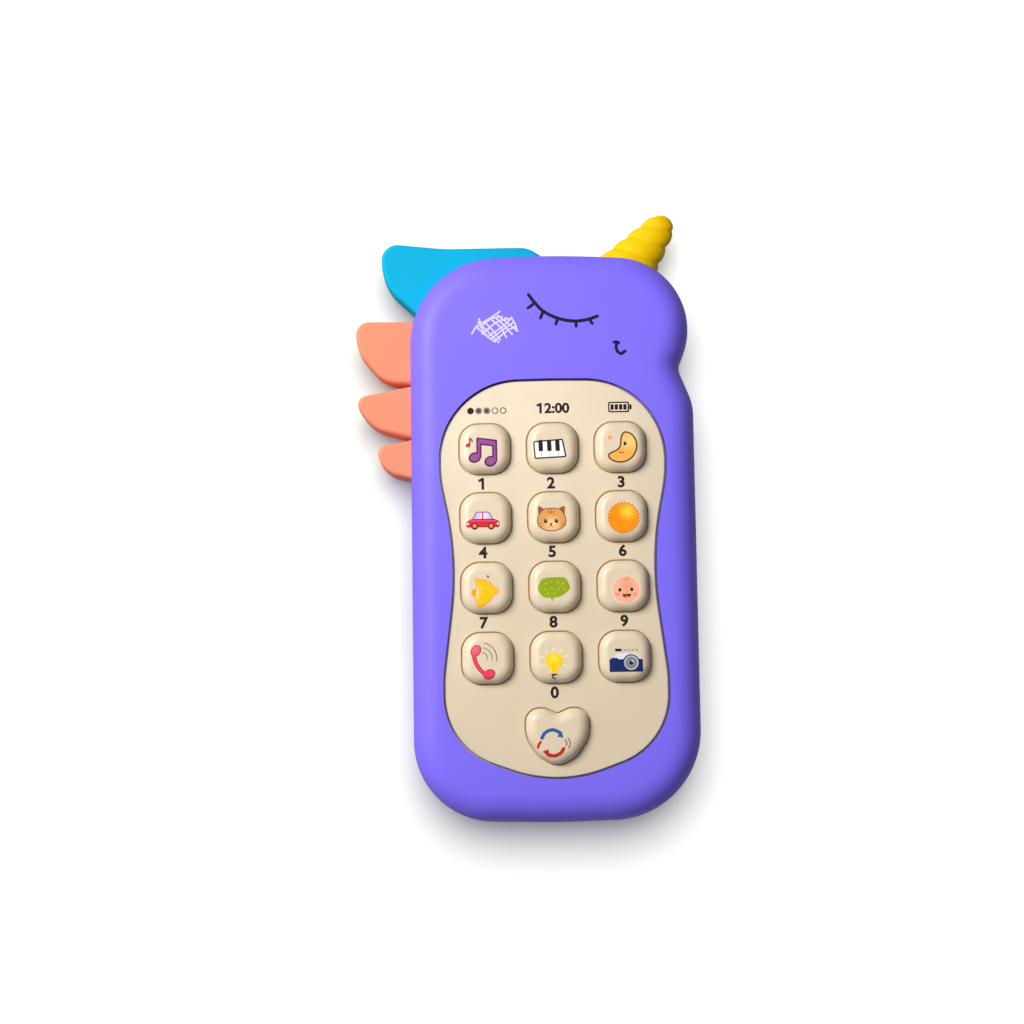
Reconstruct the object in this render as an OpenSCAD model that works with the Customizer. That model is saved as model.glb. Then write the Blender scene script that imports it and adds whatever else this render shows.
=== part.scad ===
// Toddler's toy cell phone in the shape of a sleeping unicorn.
// It lies on its back: +Z is up out of the keypad, +Y points to the horn, and the
// origin is the centre of the flat rear face. All sizes are in millimetres.

/* [Body] */
// Width of the hard shell
body_w = 80; // [76:1:84]
// Height of the hard shell, without horn and mane
body_h = 160.4; // [158:0.2:164]
// Thickness of the two shells together
body_t = 26; // [26:0.5:28]
// Height of the line where the shells part
part_z = 13; // [13:0.5:14]
// Radius of the bottom corners and the top left corner
corner_r = 25; // [23:1:27]
// Radius of the round muzzle
muzzle_r = 21; // [19:0.5:21]
// Thickness of the shell walls
wall = 2.4; // [2:0.1:2.6]
// How far the round edge reaches inwards
edge_in = 6; // [5:0.5:7]
// How far the round edge reaches down
edge_down = 8; // [7:0.5:9]

/* [Panel and keys] */
// Depth of the panel below the front face
panel_recess = 0.8; // [0.4:0.1:1.2]
// Gap between the panel and the shell
panel_gap = 0.35; // [0.2:0.05:0.5]
// Distance between key columns
pitch_x = 19; // [18.6:0.1:19.4]
// Distance between key rows
pitch_y = 19.6; // [19:0.1:20]
// Centre of the top row
top_row_y = 23.5; // [23:0.1:24]
// Width of a square key
key_w = 14.2; // [13.5:0.1:14.8]
// Corner radius of a square key
key_r = 5.2; // [4:0.1:6]
// Height of a key above the panel
key_rise = 3; // [2.5:0.1:3.5]
// Travel of a key
key_travel = 1.2; // [0.8:0.1:1.3]
// Centre of the heart key
heart_y = -58.1; // [-58.4:0.1:-57.8]

/* [Mane and horn] */
// Thickness of the mane locks
lock_t = 9; // [8:0.5:10]
// Size of the softened edge of the mane locks
lock_edge = 1.2; // [0.8:0.1:1.8]
// Length of the horn outside the shell
horn_len = 19; // [17:0.2:20]
// Radius of the horn where it meets the shell
horn_r = 8.1; // [7.5:0.1:8.6]
// Distance between the horn's grooves
horn_pitch = 5.1; // [4.5:0.1:6]

/* [Battery bay] */
// Diameter of a AAA cell
cell_d = 10.5; // [10.2:0.1:10.5]
// Length of a AAA cell
cell_len = 44.5; // [44:0.1:44.5]
// Distance between cells
cell_pitch = 11.2; // [11:0.1:11.4]
// Centre of the bay along the phone
bay_y = -36.6; // [-37:0.1:-36.4]

/* [Hidden] */
// Fineness of the facets
arc_steps = 9;
clear = 0.1;
eps = 0.01;

front_z = body_t;
panel_z = front_z - panel_recess;
shell_in_z = front_z - wall;         // underside of the front face
flange_z = shell_in_z - 1.6;         // underside of the panel's flange
key_top_z = panel_z + key_rise;
key_flange_z = flange_z - clear;     // top of a key's flange
key_base_z = key_flange_z - 1;       // underside of a key
web_t = 1;
board_t = 1.6;
board_z = key_base_z - key_travel - 0.6 - web_t - board_t;
web_z = board_z + board_t;
dome_h = key_base_z - web_z - web_t;

bay_w = 2 * cell_pitch + cell_d + 1.5;
bay_len = cell_len + 7.5;
bay_wall = 1.6;
cell_z = wall + 0.2 + cell_d / 2;
bay_top_z = cell_z + cell_d / 2 + 0.3;
bay_hi = bay_y + bay_len / 2;
bay_lo = bay_y - bay_len / 2;
plate_t = 0.5;
bump_h = 1.2;

door_x = 19;                         // half the door's width
door_hi = bay_hi + 1.1;
door_lo = -73;
door_t = 1.6;
door_z = 0.2;
ledge_z = door_z + door_t;           // the face inside the recess that the door rests on
door_screw = [0, -68.5];

speaker = [0, 55];
speaker_r = 14.5;
speaker_z = wall;
speaker_screw_r = 16.6;
speaker_angles = [90, 210, 330];

switch_y = 22;
switch_travel = 4;
switch_post_x = 11;

case_screw_at = [[-27, -66], [27, -66], [-33, -8], [33, -8], [-27, 64.5], [31.5, 57.5]];
board_screw_at = [[0, 38.5], [-9.5, -5.7], [9.5, -5.7], [-21, -52], [21, -52]];
led_at = [[-15, 38.5], [15, 38.5], [-13, -50.5], [13, -50.5]];
board_post_at = [[-24.5, 30], [24.5, 30], [-24.5, -40], [24.5, -40]];
resistor_at = [[-6, 12], [-6, 15], [-2, 12], [-2, 15], [18, 26], [18, 29]];

key_names = ["key_music", "key_piano", "key_moon", "key_car", "key_cat", "key_sun",
             "key_bell", "key_bubble", "key_baby", "key_call", "key_bulb", "key_camera"];
cell_names = ["battery_1", "battery_2", "battery_3"];

violet = [0.42, 0.36, 0.98];
cream = [0.93, 0.86, 0.76];
coral = [1, 0.55, 0.42];
sky = [0.1, 0.68, 0.88];
yellow = [1, 0.8, 0.04];
steel = [0.75, 0.76, 0.78];

// ---- Outlines ----------------------------------------------------------------

function unit(v) = v / norm(v);

// The arc that rounds the corner b between a and c, from its start to its end.
function corner_arc(a, b, c, r, steps) =
    let (u = unit(a - b),
         v = unit(c - b),
         half = acos(u * v) / 2,
         centre = b + unit(u + v) * r / sin(half),
         p = b + u * r / tan(half) - centre,
         q = b + v * r / tan(half) - centre,
         first = atan2(p.y, p.x),
         turn = atan2(p.x * q.y - p.y * q.x, p * q))
    [for (k = [0:steps]) centre + r * [cos(first + turn * k / steps), sin(first + turn * k / steps)]];

// A closed outline from corners [x, y, radius], counter-clockwise.
function rounded(corners, steps = arc_steps) =
    let (n = len(corners))
    [for (i = [0:n - 1])
        let (a = corners[(i + n - 1) % n], b = corners[i], c = corners[(i + 1) % n])
        each corner_arc([a.x, a.y], [b.x, b.y], [c.x, c.y], b.z, steps)];

// The outline moved inwards by d, or outwards if d is negative.
function inset(pts, d) =
    let (n = len(pts))
    [for (i = [0:n - 1])
        let (u = unit(pts[i] - pts[(i + n - 1) % n]),
             v = unit(pts[(i + 1) % n] - pts[i]),
             side = unit([-(u.y + v.y), u.x + v.x]))
        pts[i] + side * d / (side * [-u.y, u.x])];

function at_height(pts, z) = [for (p = pts) [p.x, p.y, z]];
function mean(pts) = [for (p = pts) 1] * pts / len(pts);

function box_corners(x, y, r) = [[-x, -y, r], [x, -y, r], [x, y, r], [-x, y, r]];

// The corners of a whole outline from those of its right half, bottom to top.
function mirrored(half) =
    concat(half, [for (i = [len(half) - 1:-1:0]) if (half[i].x != 0) [-half[i].x, half[i].y, half[i].z]]);

body_outline = rounded([
    [-body_w / 2, 0.6 - body_h / 2, corner_r - 2.5],
    [0, -body_h / 2 - 0.4, 260],
    [body_w / 2, 0.6 - body_h / 2, corner_r],
    [body_w / 2 + 0.4, 36.5, 16],
    [36.1, 47.2, 5],
    [body_w / 2 + 11.6, body_h / 2 - 2, muzzle_r],
    [0, body_h / 2 + 0.5, 260],
    [-body_w / 2, body_h / 2 - 1, corner_r]]);

panel_opening = rounded(mirrored([
    [0, -71.2, 38],
    [31.35, -59.9, 20.4],
    [31.35, -40.2, 40],
    [27.3, -7.8, 90],
    [32, 15.5, 40],
    [31.7, 43, 22.9],
    [0, 43.4, 120]]), 8);
panel_outline = inset(panel_opening, panel_gap);

key_outline = rounded(box_corners(key_w / 2, key_w / 2, key_r), 8);
heart_outline = rounded([
    [0, 7.2, 1.8], [-3.5, 8.8, 4.6], [-8.75, 8.6, 3.8], [-8.75, 0.9, 9], [-5.2, -4.5, 8],
    [0, -7.4, 5], [5.2, -4.5, 8], [8.75, 0.9, 9], [8.75, 8.6, 3.8], [3.5, 8.8, 4.6]], 6);

blue_lock_outline = rounded([
    [-4, 76, 3], [1, 79.5, 2], [-6.2, 84, 8], [-30, 83.9, 50], [-48.4, 85.9, 4.5],
    [-47.9, 73.4, 15], [-37, 63.4, 3], [-24, 66, 4]], 6);
upper_lock_outline = rounded([
    [-33, 62.3, 3], [-55.7, 62.7, 3.6], [-55.6, 54.2, 12], [-47.6, 44.7, 9], [-33, 43.4, 3]], 7);
middle_lock_outline = rounded([[-33, 45, 3], [-56.9, 40.3, 2.6], [-51, 31.2, 12], [-33, 26.7, 3]], 7);
lower_lock_outline = rounded([[-33, 29.4, 3], [-50.4, 26, 2.6], [-47.9, 18.6, 8], [-33, 14.9, 3]], 7);

// ---- Shapes ------------------------------------------------------------------

// A solid through rings of points that lie one above another, closed at both ends.
module loft(rings) {
    n = len(rings[0]);
    m = len(rings);
    points = concat([for (ring = rings) each ring], [mean(rings[0]), mean(rings[m - 1])]);
    sides = [for (k = [0:m - 2], i = [0:n - 1])
        let (a = k * n + i, b = k * n + (i + 1) % n)
        each [[a, a + n, b + n], [a, b + n, b]]];
    bottom = [for (i = [0:n - 1]) [m * n, i, (i + 1) % n]];
    top = [for (i = [0:n - 1]) let (k = (m - 1) * n) [m * n + 1, k + (i + 1) % n, k + i]];
    polyhedron(points, concat(sides, bottom, top));
}

// A plate of an outline from z0 to z1.
module plate(pts, z0, z1) {
    translate([0, 0, z0]) linear_extrude(z1 - z0) polygon(pts);
}

module rod(at, r, z0, z1) {
    translate([at.x, at.y, z0]) cylinder(r = r, h = z1 - z0, $fn = 48);
}

module block(from, to) {
    translate(from) cube(to - from);
}

// A round tube of radius r along a path of points.
module sweep(path, r, sides = 8) {
    n = len(path);
    rings = [for (k = [0:n - 1])
        let (along = unit(path[min(k + 1, n - 1)] - path[max(k - 1, 0)]),
             u = unit(cross([-1, 1, -1], along)),
             v = cross(along, u))
        [for (i = [0:sides - 1])
            path[k] + r * (cos(360 * i / sides) * u + sin(360 * i / sides) * v)]];
    loft(rings);
}

// Part of a flat ring round a centre, between two radii and two angles.
module ring_part(centre, r0, r1, a0, a1, z0, z1) {
    translate([centre.x, centre.y, z0])
        rotate([0, 0, a0])
            rotate_extrude(angle = a1 - a0, $fn = 96)
                translate([r0, 0]) square([r1 - r0, z1 - z0]);
}

// ---- Shells ------------------------------------------------------------------

// The rings of a shell's rounded outside, from the parting line outwards.
function shell_rings(z_part, z_face) =
    let (way = z_face > z_part ? 1 : -1)
    concat([at_height(body_outline, z_part)],
        [for (a = [0:15:90])
            at_height(inset(body_outline, edge_in * (1 - cos(a))),
                z_face - way * edge_down * (1 - sin(a)))]);

function backwards(list) = [for (i = [len(list) - 1:-1:0]) list[i]];

// Where the tabs of the mane locks and the horn pass through the wall.
corner_centre = [-body_w / 2 + corner_r, body_h / 2 - 0.1 - corner_r];
muzzle_centre = [18.5, 58.9];

module tab_straight(y0, y1, more) {
    block([-body_w / 2 - 1, y0 - more, part_z - 2 - more],
          [-body_w / 2 + wall + 1, y1 + more, part_z + 2 + more]);
    block([-body_w / 2 + wall + 0.2 - more, y0 - 1.5 - more, part_z - 2.5 - more],
          [-body_w / 2 + wall + 2.7 + more, y1 + 1.5 + more, part_z + 2.5 + more]);
}

module tab_round(centre, r, a0, a1, more) {
    ring_part(centre, r - wall - 1, r + 0.6, a0 - more, a1 + more,
              part_z - 2 - more, part_z + 2 + more);
    ring_part(centre, r - wall - 2.7 - more, r - wall - 0.2 + more, a0 - 4 - more, a1 + 4 + more,
              part_z - 2.5 - more, part_z + 2.5 + more);
}

module blue_tab(more = 0) tab_round(corner_centre, corner_r, 104, 152, more);
module upper_tab(more = 0) tab_straight(48.5, 59, more);
module middle_tab(more = 0) tab_straight(32, 41.5, more);
module lower_tab(more = 0) tab_straight(19, 25.5, more);
module horn_tab(more = 0) tab_round(muzzle_centre, muzzle_r, 62, 88, more);

module all_tab_slots() {
    blue_tab(clear);
    upper_tab(clear);
    middle_tab(clear);
    lower_tab(clear);
    horn_tab(clear);
}

module front_shell() {
    color(violet) {
        difference() {
            loft(shell_rings(part_z, front_z));
            plate(inset(body_outline, wall), part_z - 1, front_z - 6);
            plate(inset(body_outline, wall + 2), front_z - 7, shell_in_z);
            plate(inset(body_outline, wall / 2), part_z - 1, part_z + 1.4);
            plate(panel_opening, shell_in_z - 1, front_z + 1);
            all_tab_slots();
        }
        for (at = case_screw_at) front_boss(at);
    }
}

// Each screw boss is cut from a cylinder and stands on the front face's underside.
module front_boss(at) {
    difference() {
        rod(at, 2.9, part_z + 0.6, shell_in_z + eps);
        rod(at, 1.3, part_z, shell_in_z - 2);
    }
}

module rear_shell() {
    color(violet)
    difference() {
        union() {
            difference() {
                loft(backwards(shell_rings(part_z, 0)));
                plate(inset(body_outline, wall), 6, part_z + 1);
                plate(inset(body_outline, wall + 2), wall, 7);
            }
            shell_lip();
            bay_box();
            for (at = case_screw_at) rod(at, 4.2, wall - eps, part_z + 0.6);
            for (at = board_post_at) rod(at, 2.2, wall - eps, board_z);
            for (x = [-switch_post_x, switch_post_x]) rod([x, switch_y], 2, wall - eps, 5.2);
            for (a = speaker_angles) rod(speaker_screw_point(a), 2, wall - eps, speaker_z + 1);
            rod(door_screw, 5.4, ledge_z, 10.5);
        }
        for (at = case_screw_at) {
            rod(at, 3.2, -1, 8);
            rod(at, 1.5, 7, part_z + 2);
        }
        bay_space();
        tab_slot(cell_x(0), bay_hi, 1);
        tab_slot(cell_x(2), bay_lo, -1);
        door_recess();
        grille();
        switch_opening();
        for (a = speaker_angles) rod(speaker_screw_point(a), 1.05, 0.8, speaker_z + 2);
        all_tab_slots();
    }
}

// The step on the rear shell's rim that fits inside the front shell's rim.
module shell_lip() {
    difference() {
        plate(inset(body_outline, wall / 2 + 0.15), part_z - 1, part_z + 1.2);
        plate(inset(body_outline, wall), part_z - 2, part_z + 2);
        for (at = case_screw_at) rod(at, 3.3, part_z + 0.5, part_z + 2);
    }
}

module bay_box() {
    block([-bay_w / 2 - bay_wall, bay_lo - bay_wall, wall - eps],
          [bay_w / 2 + bay_wall, bay_hi + bay_wall, bay_top_z + 1.5]);
}

module bay_space() {
    block([-bay_w / 2, bay_lo, -1], [bay_w / 2, bay_hi, bay_top_z]);
}

// The slit in the bay's end wall that a contact's solder tab passes through.
module tab_slot(x, wall_y, way) {
    block([x - 1.7, min(wall_y, wall_y + way * 2) - eps, 12.1],
          [x + 1.7, max(wall_y, wall_y + way * 2) + eps, 13]);
}

module door_recess() {
    plate(rounded([[-door_x - 0.2, door_lo - 0.2, 4], [door_x + 0.2, door_lo - 0.2, 4],
                   [door_x + 0.2, door_hi + 0.2, 4], [-door_x - 0.2, door_hi + 0.2, 4]], 6),
          -1, ledge_z);
    for (x = [-10, 10])
        block([x - 3.2, door_hi - 1, -1], [x + 3.2, door_hi + 2.2, 1.3]);
    rod(door_screw, 4.4, 0, 3.1);
    rod(door_screw, 1.35, 1, 9);
}

// Rings of holes in front of the speaker.
module grille() {
    for (ring = [0:3], k = [0:max(1, 6 * ring) - 1])
        let (a = 360 * k / max(1, 6 * ring))
        rod(speaker + 3.5 * ring * [cos(a), sin(a)], 0.9, -1, wall + 1);
}

function speaker_screw_point(a) = speaker + speaker_screw_r * [cos(a), sin(a)];

module switch_opening() {
    translate([0, switch_y, 0]) {
        plate(rounded(box_corners(8, 4, 2), 6), -1, 1.4);
        block([-3.9, -1.6, 0], [3.9, 1.6, wall + 1]);
    }
}

// ---- Panel and keys ----------------------------------------------------------

function key_at(i) = [pitch_x * (i % 3 - 1), top_row_y - pitch_y * floor(i / 3)];

module shifted_plate(at, pts, z0, z1) {
    translate([at.x, at.y, 0]) plate(pts, z0, z1);
}

module keypad_panel() {
    color(cream)
    difference() {
        union() {
            plate(panel_outline, shell_in_z - eps, panel_z);
            plate(inset(panel_opening, -1.5), flange_z, shell_in_z);
            for (at = board_screw_at) rod(at, 2.5, web_z, flange_z + eps);
        }
        for (i = [0:11])
            shifted_plate(key_at(i), inset(key_outline, -0.25), flange_z - 1, front_z + 1);
        shifted_plate([0, heart_y], inset(heart_outline, -0.25), flange_z - 1, front_z + 1);
        for (at = board_screw_at) rod(at, 1.05, web_z - 1, flange_z + 0.8);
    }
}

// A key: a domed cap on a thin flange, hollow, with a plunger in the middle.
module key(at, outline, hollow, plunger_r) {
    crown = 2.2;
    translate([at.x, at.y, 0])
    color(cream) {
        difference() {
            union() {
                loft(concat([at_height(outline, key_flange_z - eps)],
                    [for (a = [0:22.5:90])
                        at_height(inset(outline, crown * (1 - cos(a))),
                            key_top_z - crown * (1 - sin(a)))]));
                plate(inset(outline, -1.3), key_base_z, key_flange_z);
            }
            plate(hollow, key_base_z - 1, key_top_z - 1.6);
        }
        rod([0, 0], plunger_r, key_base_z, key_top_z - 1.6 + eps);
    }
}

module square_key(i) key(key_at(i), key_outline, rounded(box_corners(5.4, 5.4, 3.4), 6), 2.8);
module key_heart() key([0, heart_y], heart_outline, inset(heart_outline, 2.2), 2.8);

// ---- Soft parts round the edge -----------------------------------------------

// A thick plate of the lock's outline with softened edges, cut to the shell's side, with its tab.
module mane_lock(paint, outline) {
    edge = [for (a = [0:22.5:90]) lock_edge * [1 - cos(a), 1 - sin(a)]];
    color(paint) {
        difference() {
            loft(concat(
                [for (e = backwards(edge)) at_height(inset(outline, e.x), part_z - lock_t / 2 + e.y)],
                [for (e = edge) at_height(inset(outline, e.x), part_z + lock_t / 2 - e.y)]));
            plate(inset(body_outline, -clear), 0, body_t);
        }
        children();
    }
}

module mane_lock_blue() mane_lock(sky, blue_lock_outline) blue_tab();
module mane_lock_upper() mane_lock(coral, upper_lock_outline) upper_tab();
module mane_lock_middle() mane_lock(coral, middle_lock_outline) middle_tab();
module mane_lock_lower() mane_lock(coral, lower_lock_outline) lower_tab();

horn_foot = [23.4, 78.1];
horn_lean = 38;
horn_flat = 0.7;
horn_taper = 4.6;
horn_tip_r = 3.6;
groove_d = 0.5;

// The horn's radius at a distance along it and an angle round it: two ridges wind round a cone
// that closes in a round tip.
function horn_radius(along, angle) =
    let (cone = horn_r - horn_taper * along / horn_len,
         past = max(0, 1 + (along - horn_len) / horn_tip_r),
         tip = sqrt(max(0, 1 - past * past)),
         turn = (along - 1.3) / horn_pitch - angle / 180,
         ridge = abs(sin(180 * turn)))
    max(0.3, (cone - groove_d * (1 - ridge)) * tip);

module horn() {
    sides = 24;
    steps = concat([-6], [for (k = [0:15]) horn_len * k / 16], [horn_len - 0.3, horn_len]);
    color(yellow) {
        difference() {
            translate([horn_foot.x, horn_foot.y, part_z])
                rotate([-90, 0, -horn_lean])
                    loft([for (s = steps)
                        [for (i = [0:sides - 1])
                            let (a = 360 * i / sides, r = horn_radius(s, a))
                            [r * cos(a), horn_flat * r * sin(a), s]]]);
            plate(inset(body_outline, -clear), 0, body_t);
        }
        horn_tab();
    }
}

// ---- Electronics -------------------------------------------------------------

// Silicone sheet with a hollow dome under each key.
module rubber_keypad() {
    color([0.85, 0.85, 0.82])
    difference() {
        union() {
            plate(rounded([[-27.5, -67, 20], [27.5, -67, 20], [28, 33, 5], [-28, 33, 5]]),
                  web_z, web_z + web_t);
            for (i = [0:11]) dome(key_at(i));
            dome([0, heart_y]);
        }
        for (i = [0:11]) dome_space(key_at(i));
        dome_space([0, heart_y]);
        for (at = board_screw_at) rod(at, 3, web_z - 1, web_z + 3);
        for (at = led_at) rod(at, 2.2, web_z - 1, web_z + 3);
    }
}

module dome(at) {
    translate([at.x, at.y, web_z + web_t - eps])
        cylinder(r1 = 4.6, r2 = 3, h = dome_h + eps, $fn = 48);
}

module dome_space(at) {
    translate([at.x, at.y, web_z - eps])
        cylinder(r1 = 4.2, r2 = 2.6, h = web_t + dome_h - 0.6, $fn = 48);
}

module circuit_board() {
    color([0.12, 0.45, 0.25])
    difference() {
        plate(rounded([[-27, -66.5, 18], [27, -66.5, 18], [27, 42, 8], [-27, 42, 8]]),
              board_z, web_z);
        for (at = board_screw_at) rod(at, 1.3, board_z - 1, web_z + 1);
    }
}

// Black resin over the sound chip, on the underside of the board.
module sound_chip() {
    color([0.05, 0.05, 0.05])
        translate([10, 8, board_z - 1.3]) cylinder(r1 = 3.4, r2 = 5, h = 1.3, $fn = 48);
}

module indicator_leds() {
    color([0.95, 0.95, 0.9])
    for (at = led_at) {
        rod(at, 1.9, web_z, web_z + 0.8);
        rod(at, 1.5, web_z + 0.8 - eps, web_z + 2);
        translate([at.x, at.y, web_z + 2]) sphere(r = 1.5, $fn = 32);
    }
}

module capacitor() {
    color([0.1, 0.15, 0.35]) rod([-14, 16], 2.5, board_z - 5.2, board_z);
}

module resistors() {
    color([0.1, 0.1, 0.1])
    for (at = resistor_at)
        block([at.x - 1, at.y - 0.6, board_z - 0.6], [at.x + 1, at.y + 0.6, board_z]);
}

// The pressed steel frame: a flat rim, a cone up to the magnet, and a terminal strip.
module speaker_basket() {
    color(steel)
    translate([speaker.x, speaker.y, speaker_z]) {
        rotate_extrude($fn = 96)
            polygon([[12.8, 0], [speaker_r, 0], [speaker_r, 1], [13.2, 1], [8.2, 5.4],
                     [0, 5.4], [0, 4.8], [7.8, 4.8], [12.8, 0.6]]);
        block([-5, -12.5, 3.2], [5, -9.9, 4.2]);
    }
}

module speaker_cone() {
    color([0.15, 0.15, 0.15])
    translate([speaker.x, speaker.y, speaker_z])
        rotate_extrude($fn = 96)
            polygon([[0, 2], [2, 2.3], [4, 3.4], [12.2, 0.1], [12.8, 0.1], [12.8, 0.5],
                     [12.2, 0.6], [4.2, 4.2], [3.6, 4.2], [1.8, 2.8], [0, 2.5]]);
}

module speaker_magnet() {
    color([0.3, 0.3, 0.32]) rod(speaker, 7.2, speaker_z + 5.4, speaker_z + 9.2);
}

module speaker_screws() {
    color(steel)
    for (a = speaker_angles) {
        rod(speaker_screw_point(a), 3, speaker_z + 1, speaker_z + 2);
        rod(speaker_screw_point(a), 1, 1, speaker_z + 1 + eps);
    }
}

// The metal can of the slide switch, with a mounting ear on each side.
module switch_body() {
    color(steel)
    translate([0, switch_y, 5.2]) {
        block([-6, -2.6, 0], [6, 2.6, 4.5]);
        block([-switch_post_x - 2.4, -2.6, 0], [switch_post_x + 2.4, 2.6, 0.5]);
        for (x = [-switch_post_x, switch_post_x]) rod([x, 0], 1.7, 0.5 - eps, 1.5);
    }
}

// The knob's grip, its neck through the slot, and the plate that keeps it in.
module switch_knob() {
    color([0.95, 0.93, 0.88])
    translate([-switch_travel / 2, switch_y, 0]) {
        difference() {
            plate(rounded(box_corners(2.6, 3, 0.8), 4), 0.3, 1.3);
            for (x = [-1.5, 0, 1.5]) block([x - 0.3, -2.2, 0], [x + 0.3, 2.2, 0.7]);
        }
        block([-1.6, -1.4, 1.3 - eps], [1.6, 1.4, 2.6]);
        block([-6.5, -3.4, 2.5], [6.5, 3.4, 3.4]);
        block([-1.2, -1.2, 3.4 - eps], [1.2, 1.2, 5.1]);
    }
}

// ---- Batteries and contacts --------------------------------------------------

function cell_x(i) = cell_pitch * (i - 1);
function cell_up(i) = i % 2 == 0 ? 1 : -1;

// A cell with its button at the upper end if up is 1, else at the lower end.
module battery(i) {
    up = cell_up(i);
    color([0.25, 0.3, 0.35])
    translate([cell_x(i), bay_y + up * (bay_len / 2 - plate_t - bump_h), cell_z])
        rotate([up * 90, 0, 0]) {
            cylinder(r = 1.9, h = 1, $fn = 48);
            translate([0, 0, 0.8]) cylinder(r = cell_d / 2, h = cell_len - 0.8, $fn = 64);
        }
}

// The flat contact that a cell's button rests on.
module contact_button(i) {
    up = cell_up(i);
    translate([cell_x(i), bay_y + up * bay_len / 2, cell_z]) {
        block([-4.4, up > 0 ? -plate_t : 0, -4], [4.4, up > 0 ? 0 : plate_t, 4]);
        rotate([up * 90, 0, 0]) cylinder(r = 2.4, h = plate_t + bump_h, $fn = 48);
    }
}

// The coil that presses on a cell's flat end, and its plate.
module contact_spring(i) {
    up = cell_up(i);
    turns = 3.5;
    free = bay_len - cell_len - bump_h - 2 * plate_t;
    wire = 0.3;
    translate([cell_x(i), bay_y - up * bay_len / 2, cell_z]) {
        block([-4.4, up > 0 ? 0 : -plate_t, -4], [4.4, up > 0 ? plate_t : 0, 4]);
        rotate([-up * 90, 0, 0])
            translate([0, 0, plate_t])
                sweep([for (k = [0:36])
                    let (s = k / 36, a = 360 * turns * s, r = 3.7 - 1.6 * s)
                    [r * cos(a), r * sin(a), wire * 0.8 + s * (free - 1.8 * wire)]], wire, 6);
    }
}

// A contact's solder tab, bent outwards through the bay's end wall.
module solder_tab(x, wall_y, way) {
    inner = wall_y - way * plate_t;
    outer = wall_y + way * 2.6;
    block([x - 1.5, min(inner, wall_y), cell_z + 3.9], [x + 1.5, max(inner, wall_y), 12.8]);
    block([x - 1.5, min(inner, outer), 12.3], [x + 1.5, max(inner, outer), 12.8]);
}

// A strap on the bay's end wall that joins two neighbouring contacts.
module strap(i, j, upper) {
    y = upper ? bay_hi : bay_lo;
    block([cell_x(i), upper ? y - plate_t : y, cell_z - 1.5],
          [cell_x(j), upper ? y : y + plate_t, cell_z + 1.5]);
}

module contact_positive() color(steel) {
    contact_button(0);
    solder_tab(cell_x(0), bay_hi, 1);
}
module contact_negative() color(steel) {
    contact_spring(2);
    solder_tab(cell_x(2), bay_lo, -1);
}
module bridge_contact_upper() color(steel) {
    contact_spring(1);
    contact_button(2);
    strap(1, 2, true);
}
module bridge_contact_lower() color(steel) {
    contact_spring(0);
    contact_button(1);
    strap(0, 1, false);
}

// The door with two tongues at its upper edge and a boss for its screw.
module battery_door() {
    color(violet)
    difference() {
        union() {
            plate(rounded([[-door_x, door_lo, 3.8], [door_x, door_lo, 3.8],
                           [door_x, door_hi, 3.8], [-door_x, door_hi, 3.8]], 6),
                  door_z, door_z + door_t);
            for (x = [-10, 10])
                block([x - 3, door_hi - 1, door_z], [x + 3, door_hi + 2, 1.2]);
            rod(door_screw, 4.2, door_z, 3);
        }
        rod(door_screw, 3, door_z - 1, 1.5);
        rod(door_screw, 1.6, 1, 4);
        for (k = [0:2])
            block([-6, bay_hi - 7 - 2.6 * k, door_z - 1], [6, bay_hi - 5.8 - 2.6 * k, door_z + 0.5]);
    }
}

// A cross-head screw: its head is at z0 and its tip at z1.
module cross_screw(at, head_r, head_h, shank_r, z0, z1) {
    difference() {
        union() {
            rod(at, head_r, z0, z0 + head_h);
            rod(at, shank_r, z0 + head_h - eps, z1);
        }
        for (a = [0, 90])
            translate([at.x, at.y, z0]) rotate([0, 0, a])
                cube([head_r * 1.1, 0.6, head_h * 1.2], center = true);
    }
}

module door_screw() color(steel) cross_screw(door_screw, 2.8, 1.1, 1.3, 0.4, 8.4);

module case_screws() {
    color(steel)
    for (at = case_screw_at) cross_screw(at, 2.8, 1.8, 1.25, 6.2, 19);
}

// The screws that hold the circuit board to the panel, driven from below.
module board_screws() {
    color(steel)
    for (at = board_screw_at) cross_screw(at, 2.2, 1.2, 1, board_z - 1.2, flange_z + 0.5);
}

// ---- Wires -------------------------------------------------------------------

wire_r = 0.6;
red_route = [[-11.2, bay_hi + 2.6, 12.55], [-11.2, -6.5, 12.55], [-13, -3, 12.3], [-17, 1, 12.3],
             [-20, 4.5, 12.6], [-20.4, 6, 14], [-20.4, 6, board_z]];
black_route = [[11.2, bay_lo - 2.6, 12.55], [11.2, bay_lo - 3.4, 12.55], [11.6, -66.9, 12.4], [14, -68, 12],
               [18, -67.2, 11.6], [20.6, -64, 11.3], [20.8, -60, 11], [20.8, -40, 10.5], [20.8, -15, 10.5],
               [20.8, -3, 11], [20.6, 3.5, 12.6], [20.4, 6, 14.2], [20.4, 6, board_z]];
speaker_route = [[-3, 42.5, 6.1], [-3, 41.9, 6.1], [-3.2, 40.5, 6.2], [-4.5, 37.5, 7.6], [-7.5, 34.3, 10.5],
                 [-9.6, 32.4, 13], [-10, 32, 14.6], [-10, 32, board_z]];
switch_route = [[-3, 22, 9.7], [-3, 22, 11], [-3.4, 20.6, 13], [-3.6, 19.4, 14.8],
                [-3.6, 19.4, board_z]];

module battery_wire_red() color("red") sweep(red_route, wire_r);
module battery_wire_black() color("black") sweep(black_route, wire_r);
module speaker_wires() {
    color([0.2, 0.3, 0.7])
    for (x = [0, 2.2]) sweep([for (p = speaker_route) p + [x, 0, 0]], wire_r);
}
module switch_wires() {
    color([0.9, 0.6, 0.1])
    for (x = [0, 6]) sweep([for (p = switch_route) p + [x, 0, 0]], wire_r);
}

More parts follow.
